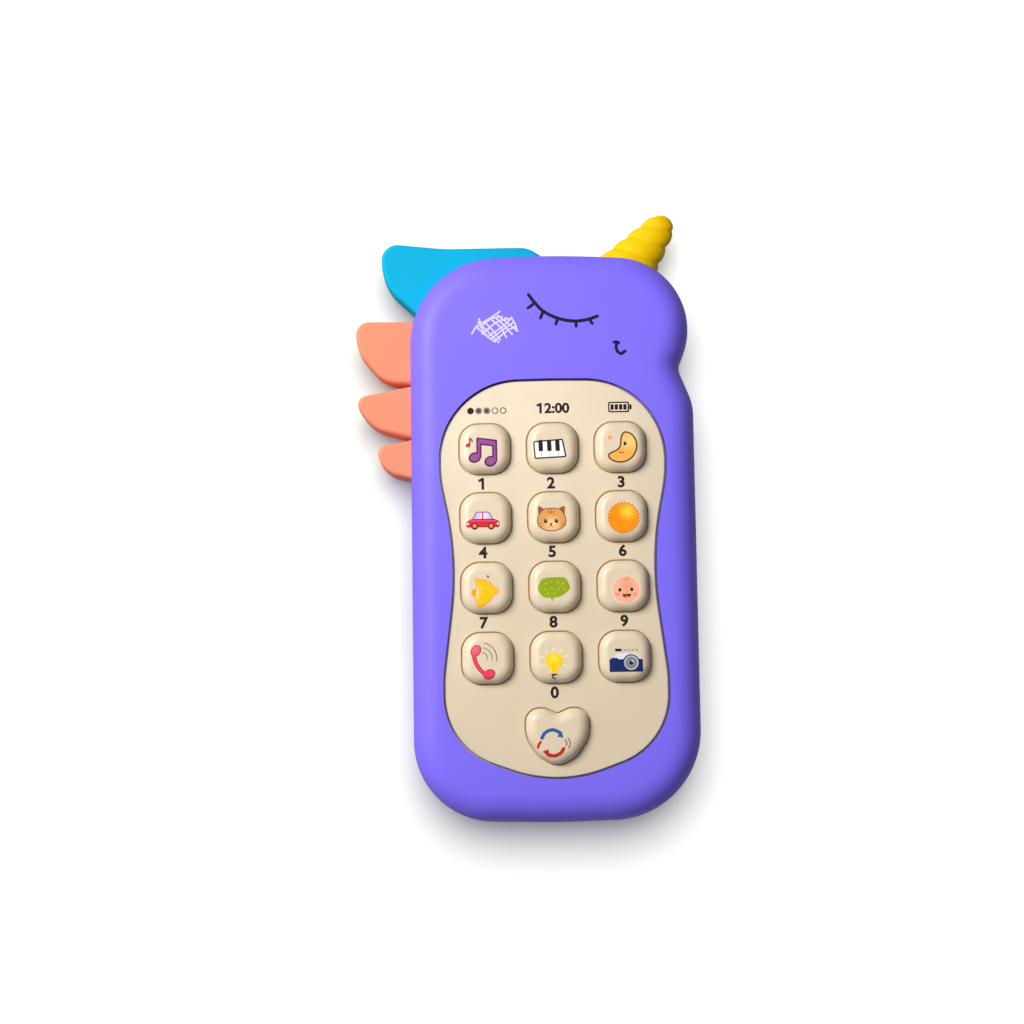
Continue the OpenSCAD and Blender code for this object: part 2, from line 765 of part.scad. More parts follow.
// ---- Nodes -------------------------------------------------------------------

front_shell();
rear_shell();
keypad_panel();
mane_lock_blue();
mane_lock_upper();
mane_lock_middle();
mane_lock_lower();
horn();
rubber_keypad();
circuit_board();
sound_chip();
indicator_leds();
capacitor();
resistors();
speaker_basket();
speaker_cone();
speaker_magnet();
speaker_screws();
contact_positive();
contact_negative();
bridge_contact_upper();
bridge_contact_lower();
switch_body();
battery_wire_red();
battery_wire_black();
speaker_wires();
switch_wires();
case_screws();
board_screws();
key_heart();
switch_knob();
battery_door();
door_screw();
for (i = [0:11]) square_key(i);
for (i = [0:2]) battery(i);
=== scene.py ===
"""A toddler's toy phone shaped like a sleeping unicorn, lying on its back on a pale floor.

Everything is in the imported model's frame: +Z out of the keypad, +Y towards the horn. Shapes are
worked out in millimetres and turned into metres where a mesh is made.
"""
import math

import bpy
import numpy as np
from mathutils import Matrix, Vector


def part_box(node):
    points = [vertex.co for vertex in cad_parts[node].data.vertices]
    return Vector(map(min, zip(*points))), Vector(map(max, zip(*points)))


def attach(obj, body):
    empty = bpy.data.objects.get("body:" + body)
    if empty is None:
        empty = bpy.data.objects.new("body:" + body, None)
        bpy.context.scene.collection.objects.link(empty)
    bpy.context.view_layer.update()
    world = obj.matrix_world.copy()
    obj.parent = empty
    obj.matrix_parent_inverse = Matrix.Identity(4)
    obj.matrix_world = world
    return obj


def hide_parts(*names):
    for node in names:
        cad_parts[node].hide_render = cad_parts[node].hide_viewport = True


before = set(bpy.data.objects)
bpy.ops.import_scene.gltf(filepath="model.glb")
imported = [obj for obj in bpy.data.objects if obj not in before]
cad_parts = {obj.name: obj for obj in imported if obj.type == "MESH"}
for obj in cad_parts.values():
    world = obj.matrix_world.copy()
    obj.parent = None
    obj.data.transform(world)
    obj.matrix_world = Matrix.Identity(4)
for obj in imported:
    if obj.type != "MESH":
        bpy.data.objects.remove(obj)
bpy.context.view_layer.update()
MM = 0.001


def span(node):
    """A CAD node's lowest and highest corners, in millimetres."""
    low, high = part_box(node)
    return np.array(low) / MM, np.array(high) / MM


# ---- Sizes, in millimetres ----

PART_Z = span("front_shell")[0][2]
FACE_Z = span("front_shell")[1][2]
PANEL_Z = span("keypad_panel")[1][2]
KEY_TOP_Z = span("key_music")[1][2]
KEY_BASE_Z = span("key_music")[0][2]
KEY_FLANGE = 1.0
FLANGE_OUT = 1.3
LOCK_LOW_Z = span("mane_lock_upper")[0][2]
LOCK_HIGH_Z = span("mane_lock_upper")[1][2]
WALL = 2.4
EDGE_IN = 8.0
EDGE_DOWN = 8.0
PANEL_GAP = 0.5
KEY_GAP = 0.25
CAP_IN = 0.05
KEY_CROWN = 2.7
HEART_CROWN = 3.3
CROWN_RISE = 2.7
LOCK_EDGE_IN = 1.3
LOCK_EDGE_UP = 1.6
INK_PROUD = 0.02
INK_STEP = 0.004
DIGIT_BOLD = 0.035
DIGIT_WIDEN = 1.05
HORN_FOOT = (23.4, 78.1)
HORN_LEAN = 38
HORN_LENGTH = 19
HORN_R = 8.1
HORN_TAPER = 4.6
HORN_TIP_R = 3.6
HORN_GROOVE = 0.75
HORN_FLAT = 0.7
HORN_PITCH = 5.1
BAY = ((-17.2, -62.6), (17.2, -10.6))
BAY_TOP_Z = 13.4
DOOR = ((-19, -73), (19, -9.5))
DOOR_Z = (0.2, 1.8)
DOOR_SCREW = (0, -68.5)
TONGUES_X = (-10, 10)
SPEAKER = (0, 55)
SWITCH_Y = 22
CASE_SCREWS = [(-27, -66), (27, -66), (-33, -8), (33, -8), (-27, 64.5), (31.5, 57.5)]
CENTRE = np.array([0.0, -12.0])  # every outline round the body can be seen from here


# ---- Outlines ----

def unit(v):
    return v / np.linalg.norm(v)


def corner_arc(a, b, c, radius, steps):
    """The arc that rounds the corner b between a and c."""
    u = unit(a - b)
    v = unit(c - b)
    half = math.acos(u @ v) / 2
    centre = b + unit(u + v) * radius / math.sin(half)
    p = b + u * radius / math.tan(half) - centre
    q = b + v * radius / math.tan(half) - centre
    first = math.atan2(p[1], p[0])
    turn = math.atan2(p[0] * q[1] - p[1] * q[0], p @ q)
    angles = first + turn * np.arange(steps + 1) / steps
    return centre + radius * np.column_stack([np.cos(angles), np.sin(angles)])


def rounded(corners, steps=12):
    """A closed counter-clockwise outline from corners (x, y, radius)."""
    spots = [np.array(c[:2], dtype=float) for c in corners]
    n = len(corners)
    return np.vstack([
        corner_arc(spots[i - 1], spots[i], spots[(i + 1) % n], corners[i][2], steps)
        for i in range(n)])


def rectangle(low, high, radius, steps=8):
    (x0, y0), (x1, y1) = low, high
    return rounded([(x0, y0, radius), (x1, y0, radius), (x1, y1, radius), (x0, y1, radius)], steps)


def inset(outline, distance):
    """The outline moved inwards, or outwards if the distance is negative."""
    before = outline - np.roll(outline, 1, axis=0)
    before /= np.linalg.norm(before, axis=1)[:, None]
    after = np.roll(before, -1, axis=0)
    side = np.column_stack([-(before + after)[:, 1], (before + after)[:, 0]])
    side /= np.linalg.norm(side, axis=1)[:, None]
    normal = np.column_stack([-before[:, 1], before[:, 0]])
    return outline + side * distance / (side * normal).sum(axis=1)[:, None]


def mirrored(half):
    """A closed outline from the corners of its right half, bottom to top."""
    return half + [(-x, y, r) for x, y, r in reversed(half) if x != 0]


BODY = rounded([
    (-40, -79.6, 22.5), (0, -80.6, 260), (40, -79.6, 25), (40.4, 36.5, 16),
    (36.1, 47.2, 5), (51.6, 78.2, 21), (0, 80.7, 260), (-40, 79.2, 25)], 40)
OPENING = rounded(mirrored([
    (0, -71.2, 38), (31.35, -59.9, 20.4), (31.35, -40.2, 40), (27.3, -7.8, 90), (32, 15.5, 40),
    (31.7, 43, 22.9), (0, 43.4, 120)]), 24)
KEY = rectangle((-7.1, -7.1), (7.1, 7.1), 5.2, 16)
HEART = rounded([
    (0, 7.2, 1.8), (-3.5, 8.8, 4.6), (-8.75, 8.6, 3.8), (-8.75, 0.9, 9), (-5.2, -4.5, 8),
    (0, -7.4, 5), (5.2, -4.5, 8), (8.75, 0.9, 9), (8.75, 8.6, 3.8), (3.5, 8.8, 4.6)], 14)
LOCKS = {"mane_lock_" + name: rounded(corners, 16) for name, corners in {
    "blue": [(-4, 76, 3), (1, 79.5, 2), (-6.2, 84, 8), (-30, 83.9, 50), (-48.4, 85.9, 4.5),
             (-47.9, 73.4, 15), (-37, 63.4, 3), (-24, 66, 4)],
    "upper": [(-33, 62.3, 3), (-55.7, 62.7, 3.6), (-55.6, 54.2, 12), (-47.6, 44.7, 9),
              (-33, 43.4, 3)],
    "middle": [(-33, 45, 3), (-56.9, 40.3, 2.6), (-51, 31.2, 12), (-33, 26.7, 3)],
    "lower": [(-33, 29.4, 3), (-50.4, 26, 2.6), (-47.9, 18.6, 8), (-33, 14.9, 3)]}.items()}


def along_rays(outline, rays):
    """Where rays from CENTRE leave the outline."""
    start = outline - CENTRE
    edge = np.roll(start, -1, axis=0) - start
    x, y = rays[:, :1], rays[:, 1:]
    with np.errstate(divide="ignore", invalid="ignore"):
        t = -(x * start[:, 1] - y * start[:, 0]) / (x * edge[:, 1] - y * edge[:, 0])
        reach = x * (start[:, 0] + t * edge[:, 0]) + y * (start[:, 1] + t * edge[:, 1])
    reach[~((t > -1e-9) & (t < 1 + 1e-9))] = 0
    return CENTRE + rays * reach.max(axis=1)[:, None]


def evenly(outline, step):
    """The outline again, with points a step apart."""
    closed = np.vstack([outline, outline[:1]])
    length = np.concatenate([[0], np.cumsum(np.linalg.norm(np.diff(closed, axis=0), axis=1))])
    at = np.linspace(0, length[-1], round(length[-1] / step), endpoint=False)
    return np.column_stack([np.interp(at, length, closed[:, k]) for k in (0, 1)])


def round_edge(width, height, power=2.3, steps=14):
    """Steps (inwards, upwards) over a softly rounded edge, from its foot to its top."""
    turn = np.linspace(0, math.pi / 2, steps + 1)
    return [(width * (1 - math.cos(a) ** (2 / power)), height * math.sin(a) ** (2 / power))
            for a in turn]


# ---- Meshes and pieces ----

def mesh_from(name, points, faces, smooth=True, sharp=35):
    mesh = bpy.data.meshes.new(name)
    mesh.from_pydata((np.asarray(points) * MM).tolist(), [], faces)
    mesh.validate()
    if smooth:
        mesh.shade_smooth()
        mesh.set_sharp_from_angle(angle=math.radians(sharp))
    return mesh


def ring(outline, z):
    return np.column_stack([outline, np.full(len(outline), z)])


def loft(name, rings, closed=False, **shading):
    """A solid through rings of points, from low to high, or from the last to the first again."""
    n = len(rings[0])
    m = len(rings)
    faces = [
        (k * n + i, k * n + (i + 1) % n, (k + 1) % m * n + (i + 1) % n, (k + 1) % m * n + i)
        for k in range(m if closed else m - 1) for i in range(n)]
    if not closed:
        faces.append(tuple(reversed(range(n))))
        faces.append(tuple(range((m - 1) * n, m * n)))
    return mesh_from(name, np.vstack(rings), faces, **shading)


def prism(name, outline, z0, z1):
    return loft(name, [ring(outline, z0), ring(outline, z1)])


def disc(x, y, rx, ry=None, turn=0.0, steps=32):
    """An ellipse as an outline, turned by some degrees."""
    a = np.arange(steps) * 2 * math.pi / steps
    flat = np.column_stack([rx * np.cos(a), (ry or rx) * np.sin(a)])
    c, s = math.cos(math.radians(turn)), math.sin(math.radians(turn))
    return flat @ np.array([[c, s], [-s, c]]) + (x, y)


def rod(name, at, radius, z0, z1, steps=40):
    return prism(name, disc(*at, radius, steps=steps), z0, z1)


def placed(name, data):
    """A new object in the scene."""
    obj = bpy.data.objects.new(name, data)
    bpy.context.scene.collection.objects.link(obj)
    return obj


def outcome(obj):
    """The mesh that an object shows, its modifiers applied. The object itself goes."""
    bpy.context.view_layer.update()
    mesh = bpy.data.meshes.new_from_object(obj.evaluated_get(bpy.context.evaluated_depsgraph_get()))
    bpy.data.objects.remove(obj)
    return mesh


def piece(name, mesh, body, materials, replaces=()):
    """Puts a mesh into the scene as a finished piece."""
    obj = placed(name, mesh)
    for material in materials:
        mesh.materials.append(material)
    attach(obj, body)
    if replaces:
        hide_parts(*replaces)
    return obj


def combined(mesh, operation, others):
    """The mesh after a boolean with each of the others in turn."""
    for other in others:
        obj = placed("target", mesh)
        tool = placed("tool", other)
        cut = obj.modifiers.new("cut", "BOOLEAN")
        cut.operation = operation
        cut.solver = "EXACT"
        cut.object = tool
        mesh = outcome(obj)
        bpy.data.objects.remove(tool)
    return mesh


def joined(meshes, name="joined", **shading):
    """One mesh that holds several that don't overlap."""
    points, faces = [], []
    for mesh in meshes:
        first = len(points)
        points += [v.co / MM for v in mesh.vertices]
        faces += [tuple(first + k for k in p.vertices) for p in mesh.polygons]
    return mesh_from(name, points, faces, **shading)


def finished(mesh, sharp=35):
    """Smooth shading that keeps flat faces flat and hard edges hard."""
    mesh.shade_smooth()
    mesh.set_sharp_from_angle(angle=math.radians(sharp))
    obj = placed("shading", mesh)
    obj.modifiers.new("weigh", "WEIGHTED_NORMAL").keep_sharp = True
    return outcome(obj)


# ---- Materials ----

def srgb(r, g, b):
    """A colour given as 0 to 255, as linear light."""
    def linear(c):
        c /= 255
        return c / 12.92 if c <= 0.04045 else ((c + 0.055) / 1.055) ** 2.4
    return linear(r), linear(g), linear(b)


SHINE_SWING = 0.06


def new_node(tree, kind, **values):
    """A shader node of a kind, with values for its inputs."""
    return put(tree.nodes.new("ShaderNode" + kind), **values)


def put(node, **values):
    for socket, value in values.items():
        node.inputs[socket.replace("_", " ")].default_value = value
    return node


def surface(name, colour, roughness, mottle=0.04, patch=45, grain=0.0, grain_size=0.3,
            specular=0.5, **shader):
    """A moulded surface: its colour drifts by a share of mottle over patches, and its fine grain
    is a bump. Sizes are in millimetres, and other values go straight to the shader's inputs."""
    material = bpy.data.materials.new(name)
    material.use_nodes = True
    tree = material.node_tree
    link = tree.links.new
    bsdf = put(tree.nodes["Principled BSDF"], Specular_IOR_Level=specular, **shader)
    place = new_node(tree, "TexCoord")

    def noise(size, detail):
        node = new_node(tree, "TexNoise", Scale=1 / (size * MM), Detail=detail)
        link(place.outputs["Object"], node.inputs["Vector"])
        return node.outputs["Fac"]

    drift = new_node(tree, "ValToRGB")
    ramp = drift.color_ramp.elements
    ramp[0].position, ramp[1].position = 0.3, 0.7
    ramp[0].color = (*[c * (1 - mottle) for c in colour], 1)
    ramp[1].color = (*[min(1, c * (1 + mottle)) for c in colour], 1)
    link(noise(patch, 3), drift.inputs["Fac"])
    link(drift.outputs["Color"], bsdf.inputs["Base Color"])

    shine = new_node(tree, "MapRange", To_Min=roughness - SHINE_SWING,
                     To_Max=roughness + SHINE_SWING)
    link(noise(6, 4), shine.inputs["Value"])
    link(shine.outputs["Result"], bsdf.inputs["Roughness"])

    if grain:
        bump = new_node(tree, "Bump", Strength=grain, Distance=0.02 * MM)
        link(noise(grain_size, 2), bump.inputs["Height"])
        link(bump.outputs["Normal"], bsdf.inputs["Normal"])
    return material


def elastomer(name, colour, roughness, mottle, patch, scatter, specular):
    """A soft rubbery surface that light sinks into a little."""
    return surface(name, colour, roughness, mottle, patch, 0.3, 0.3, specular,
                   Subsurface_Weight=scatter, Subsurface_Scale=2 * MM)


def wire_sleeve(name, colour):
    return surface(name, colour, 0.4, mottle=0.08, patch=4)


VIOLET = surface("violet_abs", srgb(118, 101, 234), 0.5, 0.03, 45, 0.35, 0.25, 0.3)
CREAM = surface("cream_abs", srgb(214, 197, 170), 0.24, 0.025, 30, 0.1, 1.2, 0.4)
KEY_CREAM = surface("key_abs", srgb(216, 198, 170), 0.36, 0.02, 20, 0.1, 0.8, 0.4)
CORAL = elastomer("coral_elastomer", srgb(236, 138, 106), 0.65, 0.03, 15, 0.15, 0.12)
BLUE = elastomer("blue_elastomer", srgb(0, 163, 200), 0.65, 0.03, 15, 0.12, 0.1)
YELLOW = elastomer("yellow_elastomer", srgb(234, 190, 0), 0.6, 0.05, 8, 0.15, 0.12)
SILICONE = surface("grey_silicone", (0.62, 0.62, 0.58), 0.6, 0.04, 10, 0.3,
                   Subsurface_Weight=0.3, Subsurface_Scale=2 * MM)
BOARD = surface("green_board", (0.02, 0.19, 0.07), 0.35, 0.15, 4, 0.3, 0.5)
RESIN = surface("black_resin", (0.012, 0.012, 0.013), 0.22, 0.2, 3, 0.4, 2)
LENS = surface("lens_plastic", (0.8, 0.8, 0.74), 0.12, patch=2, Transmission_Weight=0.4)
STEEL = surface("plated_steel", (0.62, 0.61, 0.58), 0.28, 0.08, 3, 0.4, 0.2, Metallic=1.0)
FERRITE = surface("ferrite", (0.09, 0.09, 0.1), 0.6, 0.2, 2, 0.6, 0.3)
PAPER = surface("cone_paper", (0.03, 0.03, 0.032), 0.85, 0.25, 1, 1.0, 0.15)
SLEEVE = surface("sleeve", (0.02, 0.04, 0.13), 0.3, patch=3)
INK_BLACK = surface("ink_black", srgb(34, 24, 20), 0.45, 0.15, 1.5, specular=0.15)


# ---- Shells ----

RAYS = evenly(BODY, 0.55) - CENTRE
RAYS /= np.linalg.norm(RAYS, axis=1)[:, None]


def body_ring(distance, z):
    """A ring the given distance inside the body's outline."""
    return ring(along_rays(inset(BODY, distance), RAYS), z)


def body_rings(*steps):
    return [body_ring(distance, z) for distance, z in steps]


def opening_ring(distance, z):
    """A ring the given distance outside the panel's opening."""
    return ring(along_rays(inset(OPENING, -distance), RAYS), z)


def front_shell():
    foot = FACE_Z - EDGE_DOWN
    under = FACE_Z - WALL
    rings = body_rings((0.4, PART_Z + 0.06), (0.12, PART_Z + 0.16), (0, PART_Z + 0.4),
                       (0, PART_Z + 2.5))
    rings += [body_ring(d, foot + h) for d, h in round_edge(EDGE_IN, EDGE_DOWN, steps=18)]
    rings += [opening_ring(0.5 - d, FACE_Z - 0.5 + h)
              for d, h in reversed(round_edge(0.5, 0.5, 2, 6))]
    rings += [opening_ring(0, under)]
    rings += body_rings((WALL + 2, under), (WALL + 2, under - 3.6), (WALL, under - 4.6),
                        (WALL, PART_Z + 1.4), (WALL / 2, PART_Z + 1.4), (WALL / 2, PART_Z + 0.06))
    piece("shell_front", loft("shell_front", rings, closed=True), "housing",
          [VIOLET], ["front_shell"])


front_shell()


def panel():
    """The sunken panel with its key holes, all its edges slightly rounded."""
    curve = bpy.data.curves.new("panel", "CURVE")
    curve.dimensions = "2D"
    curve.fill_mode = "BOTH"
    bevel = 0.3
    holes = [inset(HEART, -KEY_GAP - bevel) + key_centre("key_heart")]
    holes += [inset(KEY, -KEY_GAP - bevel) + key_centre(k) for k in KEY_NAMES]
    for outline in [inset(OPENING, PANEL_GAP + bevel)] + holes:
        line = curve.splines.new("POLY")
        line.points.add(len(outline) - 1)
        line.points.foreach_set("co", np.column_stack([outline * MM, np.zeros((len(outline), 1)),
                                                       np.ones((len(outline), 1))]).ravel())
        line.use_cyclic_u = True
    thick = PANEL_Z - (FACE_Z - WALL)
    curve.extrude = (thick / 2 - bevel) * MM
    curve.bevel_depth = bevel * MM
    curve.bevel_resolution = 3
    mesh = outcome(placed("panel", curve))
    mesh.transform(Matrix.Translation((0, 0, (PANEL_Z - thick / 2) * MM)))
    return mesh


KEY_NAMES = ["key_" + k for k in ("music", "piano", "moon", "car", "cat", "sun", "bell",
                                  "bubble", "baby", "call", "bulb", "camera")]


def key_centre(node):
    low, high = span(node)
    if node == "key_heart":
        middle = HEART[:, 1].min() / 2 + HEART[:, 1].max() / 2
        return np.array([0.0, (low[1] + high[1]) / 2 - middle])
    return (low[:2] + high[:2]) / 2


def keypad_panel():
    low, high = span("keypad_panel")
    flange = prism("flange", inset(OPENING, -2), PANEL_Z - 3.2, PANEL_Z - 1.62)
    holes = [prism("hole", inset(HEART, -KEY_GAP) + key_centre("key_heart"), 20, 26)]
    holes += [prism("hole", inset(KEY, -KEY_GAP) + key_centre(k), 20, 26) for k in KEY_NAMES]
    flange = combined(flange, "DIFFERENCE", [joined(holes)])
    piece("panel_flange", finished(flange), "housing", [CREAM])
    piece("panel_face", finished(panel(), 40), "housing", [CREAM],
          ["keypad_panel"])


keypad_panel()


def cap_top(crown):
    """Steps (inwards, z) over a key's crowned top, from its foot."""
    rise = KEY_TOP_Z - CROWN_RISE
    return [(CAP_IN + d, rise + h) for d, h in round_edge(crown, KEY_TOP_Z - rise, 2.1, 12)]


def key_mesh(name, outline, centre, crown):
    """A key cap on its flange, with a collar that fills the gap below the panel's face."""
    side = KEY_BASE_Z + KEY_FLANGE
    collar = 0.03 - KEY_GAP
    steps = [(-FLANGE_OUT, KEY_BASE_Z), (-FLANGE_OUT, side), (0, side), (0, PANEL_Z - 1.5),
             (collar, PANEL_Z - 1.3), (collar, PANEL_Z - 0.75), (CAP_IN, PANEL_Z - 0.6)]
    steps += cap_top(crown)
    return finished(loft(name, [ring(inset(outline, d) + centre, z) for d, z in steps]))


for node in KEY_NAMES + ["key_heart"]:
    shape, crown = (HEART, HEART_CROWN) if node == "key_heart" else (KEY, KEY_CROWN)
    body = node.replace("key_", "button_")
    cap = key_mesh(node, shape, key_centre(node), crown)
    piece(node + "_cap", cap, body, [KEY_CREAM], [node])


# ---- Mane and horn ----

def outside_body(mesh):
    """The mesh without what lies inside the shells."""
    inside = prism("inside", evenly(inset(BODY, 0.05), 0.8), 0, FACE_Z)
    return finished(combined(mesh, "DIFFERENCE", [inside]))


def lock_mesh(name, outline):
    edge = round_edge(LOCK_EDGE_IN, LOCK_EDGE_UP, 2, 10)
    low = [ring(inset(outline, d), LOCK_LOW_Z + LOCK_EDGE_UP - h) for d, h in reversed(edge)]
    high = [ring(inset(outline, d), LOCK_HIGH_Z - LOCK_EDGE_UP + h) for d, h in edge]
    return outside_body(loft(name, low + high))


for node, outline in LOCKS.items():
    colour, slot = (BLUE, "blue_rubber") if node == "mane_lock_blue" else (CORAL, "coral_rubber")
    piece(node + "_soft", lock_mesh(node, outline), "housing", [colour], [node])


def horn_mesh():
    """Two ridges wind round a cone that closes in a round tip."""
    sides = 96
    a = np.arange(sides) * 2 * math.pi / sides
    rings = []
    for s in np.concatenate([[-6], np.linspace(-1, HORN_LENGTH - 0.02, 90)]):
        cone = HORN_R - HORN_TAPER * s / HORN_LENGTH
        past = max(0.0, (s - HORN_LENGTH + HORN_TIP_R) / HORN_TIP_R)
        ridge = np.abs(np.sin(math.pi * ((s - 1.3) / HORN_PITCH) - a))
        radius = (cone - HORN_GROOVE * (1 - ridge) ** 1.3) * math.sqrt(max(0.0, 1 - past ** 2))
        flat = np.column_stack([radius * np.cos(a), HORN_FLAT * radius * np.sin(a)])
        rings.append(ring(flat, s))
    mesh = loft("horn", rings)
    lean = Matrix.Rotation(math.radians(-HORN_LEAN), 4, "Z")
    turn = lean @ Matrix.Rotation(math.radians(-90), 4, "X")
    mesh.transform(Matrix.Translation(Vector((*HORN_FOOT, PART_Z)) * MM) @ turn)
    return outside_body(mesh)


piece("horn_soft", horn_mesh(), "housing", [YELLOW], ["horn"])


# ---- Print ----

def smooth(points, closed=False, steps=8):
    """A smooth curve through the points."""
    p = np.array(points, dtype=float)
    if closed:
        p = np.vstack([p[-1:], p, p[:2]])
    else:
        p = np.vstack([2 * p[0] - p[1], p, 2 * p[-1] - p[-2]])
    t = (np.arange(steps) / steps)[:, None]
    out = [0.5 * (2 * b + (c - a) * t + (2 * a - 5 * b + 4 * c - d) * t ** 2
                  + (3 * b - a - 3 * c + d) * t ** 3)
           for a, b, c, d in zip(p, p[1:], p[2:], p[3:])]
    return np.vstack(out if closed else out + [p[-2:-1]])


def stroke(points, width, curved=True):
    """A pen stroke with round ends, as an outline."""
    line = smooth(points, steps=6) if curved and len(points) > 2 else np.array(points, dtype=float)
    way = np.gradient(line, axis=0)
    way /= np.linalg.norm(way, axis=1)[:, None]
    side = np.column_stack([-way[:, 1], way[:, 0]]) * width / 2
    turn = np.linspace(0, math.pi, 9)[1:-1, None]
    end = line[-1] - side[-1] * np.cos(turn) + way[-1] * np.sin(turn) * width / 2
    start = line[0] + side[0] * np.cos(turn) - way[0] * np.sin(turn) * width / 2
    return np.vstack([line - side, end, (line + side)[::-1], start])


def arc(x, y, radius, first, last, width):
    """A curved stroke round a centre, between two angles in degrees."""
    a = np.radians(np.linspace(first, last, 9))
    return stroke(np.column_stack([x + radius * np.cos(a), y + radius * np.sin(a)]), width, False)


def star(x, y, points, outer, inner):
    a = np.arange(2 * points) * math.pi / points
    r = np.where(np.arange(2 * points) % 2, inner, outer)
    return np.column_stack([x + r * np.cos(a), y + r * np.sin(a)])


def bar(x0, y0, x1, y1, radius=0.15):
    return rectangle((x0, y0), (x1, y1), radius, 4)


def counter_clockwise(outline):
    nxt = np.roll(outline, -1, axis=0)
    area = (outline[:, 0] * nxt[:, 1] - nxt[:, 0] * outline[:, 1]).sum()
    return outline if area > 0 else outline[::-1]


def printed(name, layers, body, under, prism_z, place=(0, 0)):
    """Layers of ink (outline, material), each cut from a copy of what it lies on that stands a hair
    prouder than the last. The function under gives that copy for a height."""
    meshes, owners, inks = [], [], []
    for k, (outline, material) in enumerate(layers):
        shape = prism("ink", counter_clockwise(np.asarray(outline)) + place, *prism_z)
        meshes.append(combined(shape, "INTERSECT", [under(INK_PROUD + INK_STEP * k)]))
        if material not in inks:
            inks.append(material)
        owners += [inks.index(material)] * len(meshes[-1].polygons)
    mesh = joined(meshes, name, sharp=20)
    piece(name, mesh, body, inks)
    mesh.polygons.foreach_set("material_index", owners)


def ink(name, r, g, b, tone_and_highlight=None):
    """Printed colour. A second tone (key, x, y, radius, colour) fades into it from a spot on that
    key. On the bell this tone is a painted highlight, a pale glare on its left side.
    """
    material = surface("ink_" + name, srgb(r, g, b), 0.45, 0.05, 3, specular=0.15)
    if tone_and_highlight:
        key, x, y, radius, inner = tone_and_highlight
        x, y = key_centre("key_" + key) + (x, y)
        tree = material.node_tree
        link = tree.links.new
        flat = new_node(tree, "VectorMath")
        flat.operation = "MULTIPLY"
        flat.inputs[1].default_value = (1, 1, 0)
        link(tree.nodes["Texture Coordinate"].outputs["Object"], flat.inputs[0])
        far = new_node(tree, "VectorMath")
        far.operation = "DISTANCE"
        far.inputs[1].default_value = (x * MM, y * MM, 0)
        link(flat.outputs["Vector"], far.inputs[0])
        fade = new_node(tree, "MapRange")
        fade.interpolation_type = "SMOOTHSTEP"
        put(fade, From_Max=radius * MM)
        link(far.outputs["Value"], fade.inputs["Value"])
        blend = new_node(tree, "Mix")
        blend.data_type = "RGBA"
        put(blend, A=(*srgb(*inner), 1))
        link(fade.outputs["Result"], blend.inputs["Factor"])
        link(tree.nodes["Color Ramp"].outputs["Color"], blend.inputs["B"])
        link(blend.outputs["Result"], tree.nodes["Principled BSDF"].inputs["Base Color"])
    return material


def digits(words, centre, height):
    """The triangles of some digits in Blender's own typeface, of a height round a centre."""
    curve = bpy.data.curves.new("digits", "FONT")
    curve.body = words
    curve.offset = DIGIT_BOLD
    curve.resolution_u = 6
    mesh = outcome(placed("digits", curve))
    flat = np.array([v.co[:2] for v in mesh.vertices])
    faces = [tuple(p.vertices) for p in mesh.polygons]
    flat = (flat - (flat.min(axis=0) + flat.max(axis=0)) / 2) * height / np.ptp(flat[:, 1])
    return flat * (DIGIT_WIDEN, 1) + centre, faces


def raised(flat, faces, z0, z1):
    """A closed solid from flat triangles."""
    merged, index = np.unique(np.round(flat, 5), axis=0, return_inverse=True)
    index = index.ravel()
    faces = [tuple(int(index[k]) for k in f) for f in faces]
    faces = [f for f in faces if len(set(f)) == len(f)]
    n = len(merged)
    edges = {(f[i], f[(i + 1) % len(f)]) for f in faces for i in range(len(f))}
    rim = [(a, b) for a, b in edges if (b, a) not in edges]
    solid = [tuple(reversed(f)) for f in faces] + [tuple(k + n for k in f) for f in faces]
    solid += [(a, b, b + n, a + n) for a, b in rim]
    return mesh_from("raised", np.vstack([ring(merged, z0), ring(merged, z1)]), solid, smooth=False)


DARK = ink("dark", 30, 20, 18)
GREY = ink("grey", 120, 108, 96)
PALE = ink("pale", 236, 219, 190)
NAVY = ink("navy", 16, 8, 44)
LILAC = ink("lilac", 204, 196, 248)


def cap_copy(outline, centre, crown):
    """Copies of a key's top, each standing prouder by some height."""
    def copy(proud):
        steps = [(CAP_IN, KEY_TOP_Z - CROWN_RISE - 0.5)] + cap_top(crown)
        return loft("copy", [ring(inset(outline, d - proud) + centre, z + proud) for d, z in steps])
    return copy


def key_print(draw):
    """Prints what a function draws on the key that the function is named after."""
    name = draw.__name__
    outline, crown = (HEART, HEART_CROWN) if name == "heart" else (KEY, KEY_CROWN)
    centre = key_centre("key_" + name)
    printed("print_" + name, draw(), "button_" + name,
            cap_copy(outline, centre, crown), (KEY_TOP_Z - 1.3, KEY_TOP_Z + 1), centre)


def inked(material, *outlines):
    """Layers of one ink."""
    return [(outline, material) for outline in outlines]


def outlined(shape, width, line, fill):
    """A shape filled with one ink inside a line of another."""
    shape = counter_clockwise(shape)
    return [(shape, line), (inset(shape, width), fill)]


@key_print
def music():
    edge, fill = ink("plum", 92, 34, 84), ink("purple", 146, 76, 142)

    def notes(d):
        return [disc(-2.8, -2.8, 1.75 - d, 1.45 - d, 20), disc(1.6, -3.9, 1.75 - d, 1.45 - d, 20),
                bar(-2.3 + d, -2.8, -0.95 - d, 2.6 - d), bar(2.1 + d, -4, 3.45 - d, 1.9 - d),
                rounded([(-2.3 + d, 0.9 + d, 0.2), (3.45 - d, 0.2 + d, 0.2),
                         (3.45 - d, 2.1 - d, 0.4), (-2.3 + d, 2.9 - d, 0.4)], 4)]

    return inked(edge, *notes(-0.05)) + inked(fill, *notes(0.42)) + inked(
        ink("note_red", 176, 52, 44), disc(-4.7, 0.7, 0.72, 0.55, 20),
        stroke([(-4.2, 0.8), (-4.15, 2.7)], 0.38),
        stroke([(-4.2, 2.6), (-3.7, 2.3), (-3.5, 1.8)], 0.42))


